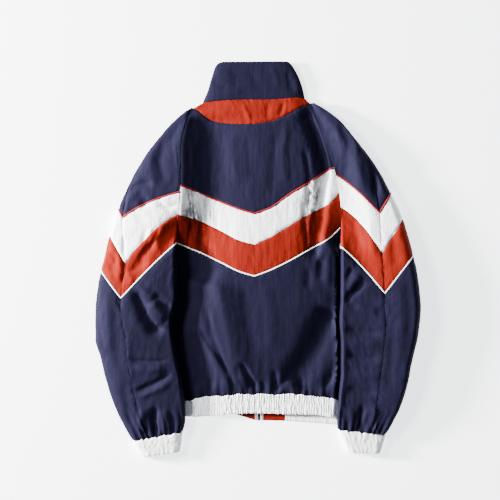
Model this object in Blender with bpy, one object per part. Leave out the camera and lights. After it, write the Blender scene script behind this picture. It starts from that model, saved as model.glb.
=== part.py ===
"""Zip-front track jacket, laid face-down on a flat surface with its sleeves at its sides.

The cloth is a wall worked out from sections: the body from a table of levels between collar and
hem, each sleeve from a table of stations between neck and cuff. Tables are in millimetres.
+X is to the right of the jacket as it lies, +Y towards the collar, +Z up from the surface.
"""
import math

import bmesh
import bpy
import numpy as np

MM = 0.001
ORIGIN = (0.8, 1.8, 0.0)   # middle of the jacket's footprint, in the tables' millimetres

# ---- cloth and seams ---------------------------------------------------------------
SHELL = 1.5            # nylon shell with its lining
DOUBLED = 2.4          # collar, waistband and cuffs are doubled
SEAM_GAP = 0.3         # between the edges of two pieces that are sewn together
RAGLAN_GAP = 0.7       # between body and sleeve, whose rows are spaced differently
NECK_GAP = 1.2         # between the collar, which turns under at its folds, and the body
PIPING_HALF_WIDTH = 2.0
PIPING_HEIGHT = 1.9
PIPING_CLEAR = 0.35    # between the piping and the panels under it

# ---- heights of the laid jacket ----------------------------------------------------
PRESSED = 3.5          # top of the back where a sleeve presses it flat
BAND_PRESSED = 5.3     # top of the back waistband where a cuff presses it flat
BODY_RISE = 74.0       # the back rises to its crown over this width from each side
SLEEVE_LIFT = 5.8      # underside of a sleeve over the body's side
CUFF_LIFT = 8.5        # underside of a sleeve over the waistband's end
SLIDER_LIFT = 3.9      # the zip stands off the surface by this much at its slider

# ---- how finely each piece is divided ----------------------------------------------
BODY_COLUMNS = 48      # an even number, with the chevron's tip on the middle one
YOKE_ROWS, BAND_ROWS, LOWER_ROWS, CRESCENT_ROWS = 7, 2, 11, 1
SLEEVE_BACK_COLUMNS, SLEEVE_FRONT_COLUMNS = 7, 10
SLEEVE_UPPER_ROWS, SLEEVE_BAND_ROWS, SLEEVE_LOWER_ROWS = 8, 3, 13
COLLAR_COLUMNS, COLLAR_ROWS = 26, 4
FRONT_COLUMNS, FRONT_ROWS = 7, 12
WAIST_RIDGES, CUFF_RIDGES = 54, 24
WAIST_RIDGE_HEIGHT, CUFF_RIDGE_HEIGHT = 1.3, 1.1

# Levels of the body: y, left and right seam (raglan, then the sleeve's inner fold), the height of
# the back at that seam, and its height at the crown.
LEVELS = np.array([
    # y, left, right, edge, crown
    (325, -126, 107, 8.6, 13.0),
    (307, -137, 114, 9.0, 15.0),
    (286, -145, 122, 10.0, 17.0),
    (264, -151, 131, 12.5, 19.0),
    (225, -157, 144, 15.0, 21.5),
    (188, -157, 156, 16.5, 23.0),
    (160, -157.5, 163, 17.0, 24.0),
    (139, -158, 167, 17.0, 24.5),
    (92, -161, 170, 16.0, 25.5),
    (65, -163, 170, 12.0, 26.0),
    (34, -164, 169, 7.5, 26.5),
    (10, -165, 169, 5.0, 26.5),
    (-21, -164, 169, PRESSED, 26.5),
    (-72, -163, 169, PRESSED, 26.0),
    (-124, -173, 167, PRESSED, 25.0),
    (-175, -168, 170, PRESSED, 23.0),
    (-230, -157, 170, PRESSED, 19.5),
    (-272, -150, 166, BAND_PRESSED, 15.0),
    (-288, -148, 165, BAND_PRESSED, 13.0),
    (-324, -147, 162, BAND_PRESSED, 11.5),
    (-352, -152, 163, BAND_PRESSED, 11.0),
])

# Seams across the back, each as a left arm from the raglan seam to the middle and a right arm.
MIDDLE = -6
YOKE_TOP = (
    ((-134, 310), (-122, 305), (-108, 293), (-91, 284), (-67, 279), (-35, 277), (MIDDLE, 277)),
    ((MIDDLE, 277), (30, 283), (50, 291), (73, 303), (93, 314), (109, 319)),
)
RED_PIPING = (
    ((-157, 152), (-118, 136), (-77, 119), (-36, 103), (MIDDLE, 94)),
    ((MIDDLE, 94), (26, 106), (67, 135), (108, 159), (142, 182), (156, 188)),
)
BAND_SEAM = (
    ((-161, 92), (-118, 79), (-77, 60), (-36, 39), (MIDDLE, 31)),
    ((MIDDLE, 31), (26, 46), (67, 71), (108, 94), (145, 114), (169, 139)),
)
WHITE_PIPING = (
    ((-164, 34), (-118, 15), (-77, -4), (-36, -24), (MIDDLE, -33)),
    ((MIDDLE, -33), (26, -21), (67, -1), (108, 22), (145, 43), (170, 66)),
)
WAIST_TOP = (
    ((-194, -290), (-147, -288), (-108, -281), (-56, -276), (MIDDLE, -274)),
    ((MIDDLE, -274), (87, -275), (161, -285), (198, -290)),
)
WAIST_BOTTOM = (
    ((-194, -320), (-147, -321), (-87, -319), (-50, -315), (MIDDLE, -313)),
    ((MIDDLE, -313), (56, -315), (118, -317), (161, -322), (198, -322)),
)
COLLAR_SEAM = (
    ((-124, 314), (-112, 320), (-97, 324), (-67, 326), (MIDDLE, 327)),
    ((MIDDLE, 327), (26, 327), (67, 330), (87, 331), (101, 328)),
)

# Side of the back below the armhole: under the sleeve to the side seam, and in to the waistband.
LEFT_SIDE = ((-164, 34), (-194, -1), (-227, -39), (-253, -78), (-263, -119), (-259, -175),
             (-239, -236), (-194, -290))
RIGHT_SIDE = ((170, 66), (168.5, 42), (168, 24), (194, -9), (229, -44), (255, -83), (265, -124), (259, -179),
              (239, -238), (198, -290))

# Stations of a sleeve: y of its inner edge, outer edge x and y, share of the width at which the
# overarm seam lies (over 1 is round the outer fold, underneath), how far the chevron drops there,
# the bend of its inner arm, and the height of the top.
LEFT_STATIONS = np.array([
    # inner_y, outer_x, outer_y, seam, drop, bend, height
    (302, -147, 302, 1.04, 0, 1.0, 12),
    (278, -175, 280, 1.04, 0, 1.0, 16),
    (245, -208, 241, 1.04, 0, 1.0, 20),
    (211, -233, 207, 1.03, 0, 1.0, 24),
    (178, -259, 161, 1.00, 6, 1.5, 28),
    (138, -284, 104, 0.93, 20, 2.6, 31),
    (92, -302, 49, 0.77, 65, 1.7, 34),
    (34, -319, -23, 0.73, 70, 1.15, 37),
    (-11, -327, -62, 0.70, 61, 1.1, 39),
    (-62, -331, -113, 0.64, 49, 1.1, 39),
    (-119, -331, -160, 0.59, 37, 1.1, 37),
    (-175, -321, -197, 0.62, 25, 1.1, 35),
    (-230, -309, -247, 0.64, 16, 1.0, 33),
    (-288, -292, -298, 0.66, 8, 1.0, 30),
    (-351, -256, -371, 0.68, 0, 1.0, 21),
])
RIGHT_STATIONS = np.array([
    (313, 119, 318, 1.04, 0, 1.0, 12),
    (291, 145, 303, 1.04, 0, 1.0, 16),
    (264, 171, 282, 1.04, 0, 1.0, 20),
    (233, 196, 251, 1.03, 0, 1.0, 24),
    (200, 233, 204, 0.94, 8, 2.0, 28),
    (174, 272, 137, 0.78, 49, 1.3, 31),
    (106, 296, 84, 0.65, 78, 1.5, 34),
    (26, 317, 10, 0.60, 84, 1.2, 37),
    (-25, 327, -37, 0.565, 70, 1.1, 39),
    (-83, 333, -99, 0.56, 53, 1.1, 39),
    (-134, 328, -150, 0.575, 37, 1.1, 37),
    (-191, 317, -199, 0.565, 25, 1.1, 35),
    (-240, 306, -253, 0.545, 16, 1.0, 33),
    (-298, 292, -298, 0.58, 8, 1.0, 30),
    (-347, 263, -357, 0.68, 0, 1.0, 21),
])
RED_STATION, BAND_STATION, WHITE_STATION, CUFF_STATION = 5, 6, 7, 14
# The sleeve is open to the body down to the first station here, and a closed tube from the next.
OPEN_STATION, TUBE_STATION = 6.0, 7.3

# The armhole's lower line, under each sleeve: x and y at the raglan seam's end, y for each x out.
LEFT_ARMHOLE = (-164, 34, -1.15)
RIGHT_ARMHOLE = (169, 26, -1.15)
SIDE_SEAM_X = 268

# Cuffs: inner and outer corner at the sleeve, inner and outer corner at the hand.
LEFT_CUFF = ((-152, -351), (-256, -371), (-158, -392), (-236, -403))
RIGHT_CUFF = ((163, -347), (263, -357), (184, -393), (251, -396))
CUFF_HEIGHTS = (20.0, 17.0)

# Collar as it lies, from the neck seam (0) to its top edge (1): left and right fold.
COLLAR = np.array([
    # left_x, left_y, right_x, right_y, height
    (-113, 319.5, 97, 329.2, 12.0),
    (-101, 348, 94, 344, 13.0),
    (-95, 368, 86, 367, 13.5),
    (-88, 389, 72, 394, 13.0),
])
COLLAR_TOP = 405           # y of the top edge of the back of the collar
FRONT_NECK_DROP = 55       # how much lower the neck is at the front

# Front edges and zip.
ZIP_X = 3.0
CHAIN_HALF_WIDTH = 3.2
TAPE_HALF_WIDTH = 8.0
HEM_TAB_LEFT, HEM_TAB_RIGHT = -46, 57
FRONT_HEM = ((-194, -314), (-60, -311), (-46, -316), (-5, -329), (9, -329), (57, -330),
             (161, -338), (198, -339))
TAPE_THICKNESS, CHAIN_THICKNESS = 1.2, 2.2
ZIP_ROWS = (-329, 255, 270, 282, 295, 334)
FRONT_WAIST_Y = -291
SLIDER_TOP, SLIDER_LENGTH, SLIDER_WIDTH = 346.0, 11.0, 9.6
PLATE_THICKNESS = (0.6, 1.5)        # of the slider's plate outside the tapes, and inside
PULL_LENGTH, PULL_WIDTH, PULL_THICKNESS = 27.0, 6.0, 1.6
PULL_AXIS_Z = 1.5
EYE_RADIUS, HOLE_RADIUS, PIN_RADIUS = 1.2, 0.8, 0.45
LUG_THICKNESS = 1.2

# Largest folds, as soft ridges (height over 0) and troughs: from, to, half width, height.
BODY_FOLDS = (
    # x0, y0, x1, y1, half_width, height
    (-134, -134, -60, -230, 9, -4.0),
    (-85, -165, -36, -262, 7, -3.5),
    (-32, -206, 1, -258, 6, -3.0),
    (155, -83, 97, -175, 9, -6.0),
    (97, -175, 52, -260, 8, -6.0),
    (160, -103, 122, -205, 8, 4.5),
    (122, -205, 90, -262, 8, 4.5),
    (165, -238, 135, -262, 6, 4.0),
    (-106, -31, -73, -165, 11, 4.0),
    (-73, -165, -50, -236, 8, 3.5),
    (87, 280, 124, 61, 11, -4.0),
    (118, 290, 140, 163, 9, 3.0),
)
SLEEVE_FOLDS = (
    (-253, -72, -237, -128, 8, -5.0),
    (-237, -128, -200, -150, 8, -5.0),
    (-215, -92, -182, -125, 12, 4.0),
    (-257, -206, -183, -206, 8, -3.5),
    (-247, -261, -173, -232, 7, -3.5),
    (-210, -318, -214, -350, 6, -4.0),
    (-261, 149, -210, 157, 9, -3.5),
    (179, -83, 214, -46, 8, -4.0),
    (179, -144, 251, -150, 9, -3.0),
    (179, -195, 247, -201, 9, -3.0),
    (236, 228, 239, 122, 10, -5.0),
    (205, 215, 214, 130, 12, 3.0),
)
HEM_GATHERS = 15           # soft gathers that run up from the waistband
GATHER_HEIGHT, GATHER_REACH = 2.0, 46.0
SLEEVE_END_GATHERS = 9
SLEEVE_END_GATHER_HEIGHT = 1.6

# ---- colours: red, green, blue, roughness ------------------------------------------
NAVY = (0.045, 0.05, 0.13, 0.45)
RED = (0.55, 0.06, 0.03, 0.45)
WHITE = (0.85, 0.87, 0.9, 0.5)
PIPING_RED = (0.45, 0.04, 0.04, 0.5)
METAL = (0.5, 0.5, 0.52, 0.35)


# ---- curves ------------------------------------------------------------------------
def through(places, rows, at):
    """Each column of rows as a smooth line over places, with no overshoot, read at 'at'."""
    places, rows = np.asarray(places, float), np.asarray(rows, float)
    at = np.clip(np.asarray(at, float), places[0], places[-1])
    steps = np.diff(places)[:, None]
    rates = np.diff(rows, axis=0) / steps
    slopes = np.zeros_like(rows)
    slopes[0], slopes[-1] = rates[0], rates[-1]
    same_way = rates[:-1] * rates[1:] > 0
    total = np.where(same_way, rates[:-1] + rates[1:], 1.0)
    slopes[1:-1] = np.where(same_way, 2 * rates[:-1] * rates[1:] / total, 0.0)
    low = np.clip(np.searchsorted(places, at, side="right") - 1, 0, len(places) - 2)
    step = steps[low]
    t = (at - places[low])[..., None] / step
    return ((1 + 2 * t) * (1 - t) ** 2 * rows[low] + t * (1 - t) ** 2 * step * slopes[low]
            + t * t * (3 - 2 * t) * rows[low + 1] + t * t * (t - 1) * step * slopes[low + 1])


def along(points, t):
    """Places along a smooth line through the points; t is 0 to 1 by distance."""
    points = np.asarray(points, float)
    lengths = np.concatenate([[0], np.cumsum(np.hypot(*np.diff(points, axis=0).T))])
    return through(lengths / lengths[-1], points, t)


def across(seam, u):
    """Places along a seam of two arms; u is 0 at its left end, 0.5 at the middle, 1 at right."""
    u = np.asarray(u, float)
    left, right = along(seam[0], u * 2), along(seam[1], u * 2 - 1)
    return np.where((u < 0.5)[..., None], left, right)


def ease(t):
    t = np.clip(t, 0, 1)
    return t * t * (3 - 2 * t)


def ring_share(c):
    """Share of a flattened ring's width at c: 0 to 1 over the top, 1 to 2 back underneath."""
    return (1 - np.cos(math.pi * c)) / 2


def neck_line(x):
    """y of the neck seam at the back, for each x."""
    points = np.array(COLLAR_SEAM[0] + COLLAR_SEAM[1][1:], float)
    return through(points[:, 0], points[:, 1:], x)[..., 0]


def level(y):
    """Left seam, right seam, edge height and crown height of the body at y."""
    return through(LEVELS[::-1, 0], LEVELS[::-1, 1:], y)


def folds(x, y, table):
    """Height of the ridges and troughs of a table at x, y."""
    total = np.zeros_like(x)
    for x0, y0, x1, y1, half_width, height in table:
        run = math.hypot(x1 - x0, y1 - y0)
        ahead = ((x - x0) * (x1 - x0) + (y - y0) * (y1 - y0)) / run
        aside = ((x - x0) * (y1 - y0) - (y - y0) * (x1 - x0)) / run
        past = np.maximum(np.maximum(-ahead, ahead - run), 0)
        total += height * np.exp(-(aside ** 2 + past ** 2) / (2 * half_width ** 2))
    return total


# ---- the body's surfaces -----------------------------------------------------------
def back_height(x, y):
    """Top of the back as it lies, over any x and y."""
    left, right, edge, crown = np.moveaxis(level(y), -1, 0)
    pressed = PRESSED + (BAND_PRESSED - PRESSED) * ease((-215 - y) / 45)
    outside = np.maximum(left - x, x - right)
    edge = pressed + (edge - pressed) * (1 - ease(outside / 12.0)) * (edge > pressed)
    rise = ease((x - left) / BODY_RISE) * ease((right - x) / BODY_RISE)
    body = edge + (crown - edge) * rise
    hem = through([-324, -280, -272], [[0.0], [0.0], [1.0]], y)[..., 0]
    inside = ease((x - left) / 40) * ease((right - x) / 40)
    gathers = GATHER_HEIGHT * np.sin((x - MIDDLE) * HEM_GATHERS * 2 * math.pi / 330)
    reach = ease(1 - (y + 283) / GATHER_REACH) * ease((y + 292) / 10)
    return body + folds(x, y, BODY_FOLDS) * inside * (0.25 + 0.75 * hem) + gathers * reach * inside


def surface_lift(x, y):
    """How far the underside stands off the surface: only round the zip's slider."""
    near = 1 - ease((np.abs(x - ZIP_X) - 9) / 40)
    return SLIDER_LIFT * near * ease((y - 262) / 30)


def patch(top, bottom, left, right, v):
    """Points between four edges: top and bottom over the columns, left and right over rows."""
    v = v[:, None, None]
    u = np.linspace(0, 1, len(top))[None, :, None]
    flat = (1 - v) * top + v * bottom
    left_slack = left[:, None] - ((1 - v) * top[:1] + v * bottom[:1])
    right_slack = right[:, None] - ((1 - v) * top[-1:] + v * bottom[-1:])
    return flat + (1 - u) * left_slack + u * right_slack


def raglan(side, y):
    x = level(y)[..., side]
    return np.stack([x, y], -1)


# ---- walls and meshes --------------------------------------------------------------
def normals(grid):
    """Unit normals of a grid of points, rows by columns."""
    facing = np.cross(np.gradient(grid, axis=0), np.gradient(grid, axis=1))
    return facing / np.linalg.norm(facing, axis=-1, keepdims=True)


def squared(facing, way):
    """Normals turned square to a direction, so that walls that meet end to end stay apart."""
    way = np.array(way, float) / np.linalg.norm(way)
    facing = facing - (facing @ way)[..., None] * way
    return facing / np.linalg.norm(facing, axis=-1, keepdims=True)


def inset(grid, gaps):
    """Move a grid's edges in by half the seam gaps: first row, last row, first and last column."""
    grid = grid.copy()
    first_row, last_row, first_column, last_column = gaps
    for edge, inner, gap in ((0, 1, first_row), (-1, -2, last_row)):
        way = grid[inner] - grid[edge]
        grid[edge] += way / np.linalg.norm(way, axis=-1, keepdims=True) * gap / 2
    for edge, inner, gap in ((0, 1, first_column), (-1, -2, last_column)):
        way = grid[:, inner] - grid[:, edge]
        grid[:, edge] += way / np.linalg.norm(way, axis=-1, keepdims=True) * gap / 2
    return grid


def material(name, colour):
    surface = bpy.data.materials.new(name)
    surface.use_nodes = True
    shader = surface.node_tree.nodes["Principled BSDF"]
    shader.inputs["Base Color"].default_value = (*colour[:3], 1)
    shader.inputs["Roughness"].default_value = colour[3]
    shader.inputs["Metallic"].default_value = 1.0 if colour is METAL else 0.0
    return surface


def add(name, mesh_parts, colour):
    """Link a mesh, given as a bmesh in millimetres, as one named piece in metres."""
    bmesh.ops.recalc_face_normals(mesh_parts, faces=mesh_parts.faces)
    if mesh_parts.calc_volume(signed=True) < 0:
        bmesh.ops.reverse_faces(mesh_parts, faces=mesh_parts.faces)
    bmesh.ops.translate(mesh_parts, vec=[-o for o in ORIGIN], verts=mesh_parts.verts)
    bmesh.ops.scale(mesh_parts, vec=(MM, MM, MM), verts=mesh_parts.verts)
    mesh = bpy.data.meshes.new(name)
    mesh_parts.to_mesh(mesh)
    mesh_parts.free()
    mesh.shade_smooth()
    mesh.set_sharp_from_angle(angle=math.radians(40))
    mesh.materials.append(material(name, colour))
    piece = bpy.data.objects.new(name, mesh)
    bpy.context.scene.collection.objects.link(piece)
    return piece


def wall(name, outer, inner, colour, ring=False):
    """A closed wall between two grids of points; a ring joins its last column to its first."""
    rows, columns = outer.shape[:2]
    mesh_parts = bmesh.new()
    out = [[mesh_parts.verts.new(p) for p in row] for row in outer]
    back = [[mesh_parts.verts.new(p) for p in row] for row in inner]
    spans = columns if ring else columns - 1
    for i in range(rows - 1):
        for j in range(spans):
            k = (j + 1) % columns
            mesh_parts.faces.new((out[i][j], out[i][k], out[i + 1][k], out[i + 1][j]))
            mesh_parts.faces.new((back[i][j], back[i + 1][j], back[i + 1][k], back[i][k]))
    for i in (0, rows - 1):
        for j in range(spans):
            k = (j + 1) % columns
            mesh_parts.faces.new((out[i][j], out[i][k], back[i][k], back[i][j]))
    if not ring:
        for j in (0, columns - 1):
            for i in range(rows - 1):
                mesh_parts.faces.new((out[i][j], out[i + 1][j], back[i + 1][j], back[i][j]))
    bmesh.ops.triangulate(mesh_parts, faces=mesh_parts.faces)
    return add(name, mesh_parts, colour)


def tube(name, rings, colour):
    """A closed solid through rings of points, each ring in order round the section."""
    mesh_parts = bmesh.new()
    loops = [[mesh_parts.verts.new(p) for p in ring] for ring in rings]
    count = len(loops[0])
    for first, second in zip(loops, loops[1:]):
        for j in range(count):
            k = (j + 1) % count
            mesh_parts.faces.new((first[j], first[k], second[k], second[j]))
    mesh_parts.faces.new(loops[0])
    mesh_parts.faces.new(loops[-1])
    bmesh.ops.triangulate(mesh_parts, faces=mesh_parts.faces)
    return add(name, mesh_parts, colour)


def piping(name, rows, facing, colour):
    """Piping over a seam: rows are the wall's outer points above, on and below the seam."""
    above, seam, below = rows
    sides = []
    for row in (above, below):
        way = row - seam
        sides.append(way / np.linalg.norm(way, axis=-1, keepdims=True))
    up, down = sides
    half = PIPING_HALF_WIDTH
    section = (
        seam + up * half + facing * PIPING_CLEAR,
        seam + up * half * 0.6 + facing * PIPING_HEIGHT,
        seam + down * half * 0.6 + facing * PIPING_HEIGHT,
        seam + down * half + facing * PIPING_CLEAR,
    )
    rings = np.stack(section, axis=1)
    for end, inside in ((0, 1), (-1, -2)):
        way = seam[inside] - seam[end]
        rings[end] += way / np.linalg.norm(way) * (RAGLAN_GAP + PIPING_HALF_WIDTH)
    return tube(name, rings, colour)


# ---- back --------------------------------------------------------------------------
def build_back():
    """The back as one grid of points, cut at its seams into its pieces."""
    u = np.linspace(0, 1, BODY_COLUMNS + 1)
    lines = [across(seam, u) for seam in
             (COLLAR_SEAM, YOKE_TOP, RED_PIPING, BAND_SEAM, WHITE_PIPING, WAIST_TOP)]
    lines[0][:, 1] = neck_line(lines[0][:, 0])
    for line in lines[1:-1]:
        line[0, 0] = level(line[0, 1])[0]
        line[-1, 0] = level(line[-1, 1])[1]
    pieces = (
        ("neck_crescent", CRESCENT_ROWS, RED),
        ("back_yoke", YOKE_ROWS, NAVY),
        ("back_band_white", BAND_ROWS, WHITE),
        ("back_band_red", BAND_ROWS, RED),
        ("back_lower", LOWER_ROWS, NAVY),
    )
    strips = []
    for index, (name, rows, _) in enumerate(pieces):
        v = np.linspace(0, 1, rows + 1)
        if name == "back_lower":
            v = 0.35 * v + 0.65 * ring_share(v)
        top, bottom = lines[index], lines[index + 1]
        if name == "neck_crescent":
            left = top[0] + (bottom[0] - top[0]) * v[:, None]
            right = top[-1] + (bottom[-1] - top[-1]) * v[:, None]
        elif name == "back_lower":
            left, right = along(LEFT_SIDE, v), along(RIGHT_SIDE, v)
        else:
            left = raglan(0, top[0, 1] + (bottom[0, 1] - top[0, 1]) * v)
            right = raglan(1, top[-1, 1] + (bottom[-1, 1] - top[-1, 1]) * v)
        strips.append(patch(top, bottom, left, right, v)[:-1])
    plan = np.concatenate(strips + [lines[-1][None]])
    grid = np.dstack([plan, back_height(plan[..., 0], plan[..., 1])])
    facing = normals(grid)
    sewn = sum(rows for _, rows, _ in pieces[:-1]) + 1
    facing[:sewn, 0] = facing[:sewn, -1] = (0, 0, 1)
    facing[-1] = squared(facing[-1], (0, 1, 0))
    facing[0] = squared(facing[0], (0, 1, 0))
    inner = grid - facing * SHELL
    row = 0
    for name, rows, colour in pieces:
        band = slice(row, row + rows + 1)
        columns = slice(1, -1) if name == "neck_crescent" else slice(None)
        gaps = (SEAM_GAP, SEAM_GAP, RAGLAN_GAP, RAGLAN_GAP)
        wall(name, inset(grid[band, columns], gaps), inset(inner[band, columns], gaps), colour)
        row += rows
        if name in ("back_yoke", "back_band_red"):
            kind = ("red", PIPING_RED) if name == "back_yoke" else ("white", WHITE)
            piping("back_piping_" + kind[0], grid[row - 1:row + 2], facing[row].copy(), kind[1])


def build_back_waistband():
    u = np.linspace(0, 1, 2 * WAIST_RIDGES + 1)
    top, bottom = across(WAIST_TOP, u), across(WAIST_BOTTOM, u)
    v = np.linspace(0, 1, 3)[:, None, None]
    plan = top * (1 - v) + bottom * v
    grid = np.dstack([plan, back_height(plan[..., 0], plan[..., 1])])
    facing = normals(grid)
    facing[0] = squared(facing[0], (0, 1, 0))
    inner = grid - facing * DOUBLED
    ridge = (np.arange(len(u)) % 2)[None, :, None] * WAIST_RIDGE_HEIGHT
    gaps = (SEAM_GAP, 0, 0, 0)
    wall("waistband_back", inset(grid + facing * ridge, gaps), inset(inner, gaps), WHITE)


# ---- collar and fronts -------------------------------------------------------------
def rounded(share, edge):
    """1 over most of a width and round to 0 at its end, over 'edge' of the width."""
    q = np.clip((edge - share) / edge, 0, 1)
    return np.sqrt(1 - q * q)


def collar_place(v, c):
    """Outer surface of the collar: v from the neck seam to the top edge, c round the ring."""
    left_x, left_y, right_x, right_y, height = np.moveaxis(
        through(np.linspace(0, 1, len(COLLAR)), COLLAR, v), -1, 0)
    f = ring_share(c)
    under = (c < 0) | (c > 1)
    x = left_x + (right_x - left_x) * f
    ends = rounded(f, 0.12) * rounded(1 - f, 0.08)
    rise = COLLAR_TOP - (COLLAR[-1, 1] + COLLAR[-1, 3]) / 2
    y = left_y + (right_y - left_y) * f + rise * np.sin(v * math.pi / 2) * ends
    y += (neck_line(x) - left_y - (right_y - left_y) * f) * np.clip(1 - 3 * v, 0, 1) * ~under
    y -= FRONT_NECK_DROP * np.clip(4 * f * (1 - f), 0, 1) ** 0.8 * under
    fold = 0.42 * height
    over = rounded(f, 0.22) * rounded(1 - f, 0.22)
    base = surface_lift(x, y)
    flat = rounded(f, 0.1) * rounded(1 - f, 0.1)
    z = np.where(under, fold - (fold - base) * flat, fold + (height - fold) * over)
    return np.stack([x, y, z], -1)


def collar_ring():
    """Ring places of the collar's columns for each row, from zip edge to zip edge."""
    v = np.linspace(0, 1, COLLAR_ROWS + 1)
    rows = through(np.linspace(0, 1, len(COLLAR)), COLLAR, v)
    left_x, right_x = rows[:, 0], rows[:, 2]
    ends = []
    for edge in (ZIP_X - TAPE_HALF_WIDTH, ZIP_X + TAPE_HALF_WIDTH):
        share = (edge - left_x) / (right_x - left_x)
        ends.append(np.arccos(1 - 2 * share) / math.pi)
    under = np.linspace(0, 1, FRONT_COLUMNS + 1)
    left = -ends[0][:, None] * (1 - under)
    right = 1 + (1 - ends[1])[:, None] * under
    over = np.tile(np.linspace(0, 1, COLLAR_COLUMNS + 1)[1:-1], (len(v), 1))
    return v, np.concatenate([left, over, right], axis=1)


def build_collar():
    v, c = collar_ring()
    grid = collar_place(np.repeat(v[:, None], c.shape[1], axis=1), c)
    facing = -normals(grid)
    facing[0] = squared(facing[0], (0, 1, 0))
    inner = grid - facing * DOUBLED
    gaps = (NECK_GAP, 0, SEAM_GAP, SEAM_GAP)
    wall("collar", inset(grid, gaps), inset(inner, gaps), NAVY)
    return grid[0, FRONT_COLUMNS::-1], grid[0, -FRONT_COLUMNS - 1:]


def flat_wall(name, plan, thickness, colour, gaps):
    """A wall lying on the surface, or on the lift round the slider."""
    plan = inset(np.dstack([plan, np.zeros(plan.shape[:2])]), gaps)
    plan[..., 2] = surface_lift(plan[..., 0], plan[..., 1])
    over = plan + np.array((0, 0, thickness))
    return wall(name, over, plan, colour)


def build_front(name, side, neck):
    """One front, from its shoulder, raglan seam and side to the zip."""
    stations, side_line = (LEFT_STATIONS, LEFT_SIDE) if side == 0 else (RIGHT_STATIONS, RIGHT_SIDE)
    sewn = sleeve_rows()[:SLEEVE_UPPER_ROWS + 2 * SLEEVE_BAND_ROWS + 1]
    seam = raglan(side, through(range(len(stations)), stations[:, :1], sewn)[:, 0])
    below = along([p for p in side_line if p[1] <= seam[-1, 1]], np.linspace(0, 1, FRONT_ROWS)[1:])
    outer = np.concatenate([seam, below])
    top = neck[::-1, :2] if side else neck[:, :2]
    top = top.copy()
    top[-1 if side else 0] = seam[0]
    zip_x = ZIP_X + (TAPE_HALF_WIDTH if side else -TAPE_HALF_WIDTH)
    lengths = np.concatenate([[0], np.cumsum(np.hypot(*np.diff(outer, axis=0).T))])
    v = lengths / lengths[-1]
    zip_edge = np.stack([np.full(len(v), zip_x),
                         (1 - v) * top[0 if side else -1][1] + v * FRONT_WAIST_Y], -1)
    left, right = (zip_edge, outer) if side else (outer, zip_edge)
    share = np.linspace(0, 1, len(top))[:, None]
    bottom = left[-1] * (1 - share) + right[-1] * share
    gaps = (SEAM_GAP, SEAM_GAP) + ((SEAM_GAP, RAGLAN_GAP) if side else (RAGLAN_GAP, SEAM_GAP))
    flat_wall(name, patch(top, bottom, left, right, v), SHELL, NAVY, gaps)


def build_front_band(name, x_from, x_to, columns, colour):
    """A stretch of the front waistband, between the front's lower edge and the hem."""
    x = np.linspace(x_from, x_to, columns + 1)
    hem = np.array(FRONT_HEM, float)
    lower = np.stack([x, np.interp(x, hem[:, 0], hem[:, 1])], -1)
    upper = np.stack([x, np.full(len(x), FRONT_WAIST_Y - SEAM_GAP)], -1)
    flat_wall(name, np.stack([upper, lower]), DOUBLED, colour, (SEAM_GAP,) * 2 + (SEAM_GAP,) * 2)


# ---- zip ---------------------------------------------------------------------------
def zip_strip(name, x_from, x_to, y_to, thickness, colour):
    y = np.array(ZIP_ROWS[:-1] + (y_to,), float)[::-1]
    plan = np.stack([np.stack([np.full(len(y), x), y], -1) for x in (x_from, x_to)], axis=1)
    flat_wall(name, plan, thickness, colour, (0, 0, SEAM_GAP, SEAM_GAP))


def block(low, high):
    """A plain box as an object, between two corners in millimetres."""
    mesh_parts = bmesh.new()
    bmesh.ops.create_cube(mesh_parts, size=1)
    size = [h - l for l, h in zip(low, high)]
    middle = [(h + l) / 2 for l, h in zip(low, high)]
    bmesh.ops.scale(mesh_parts, vec=size, verts=mesh_parts.verts)
    bmesh.ops.translate(mesh_parts, vec=middle, verts=mesh_parts.verts)
    return add("shape", mesh_parts, METAL)


def pin(radius, x_from, x_to, y, z):
    """A round pin along X as an object."""
    mesh_parts = bmesh.new()
    angles = np.linspace(0, 2 * math.pi, 17)[:-1]
    for x in (x_from, x_to):
        ring = [mesh_parts.verts.new((x, y + radius * math.cos(a), z + radius * math.sin(a)))
                for a in angles]
        mesh_parts.faces.new(ring)
    mesh_parts.verts.ensure_lookup_table()
    for j in range(16):
        k = (j + 1) % 16
        corners = (j, k, 16 + k, 16 + j)
        mesh_parts.faces.new([mesh_parts.verts[i] for i in corners])
    return add("shape", mesh_parts, METAL)


def combine(name, base, steps):
    """Join shapes to a base, or cut them from it, and keep the result as one piece."""
    for operation, shape in steps:
        change = base.modifiers.new("change", "BOOLEAN")
        change.operation, change.object, change.solver = operation, shape, "EXACT"
        evaluated = base.evaluated_get(bpy.context.evaluated_depsgraph_get())
        mesh = bpy.data.meshes.new_from_object(evaluated)
        base.modifiers.clear()
        base.data = mesh
        bpy.data.objects.remove(shape)
    base.name = base.data.name = name
    base.data.materials[0].name = name
    return base


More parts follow.
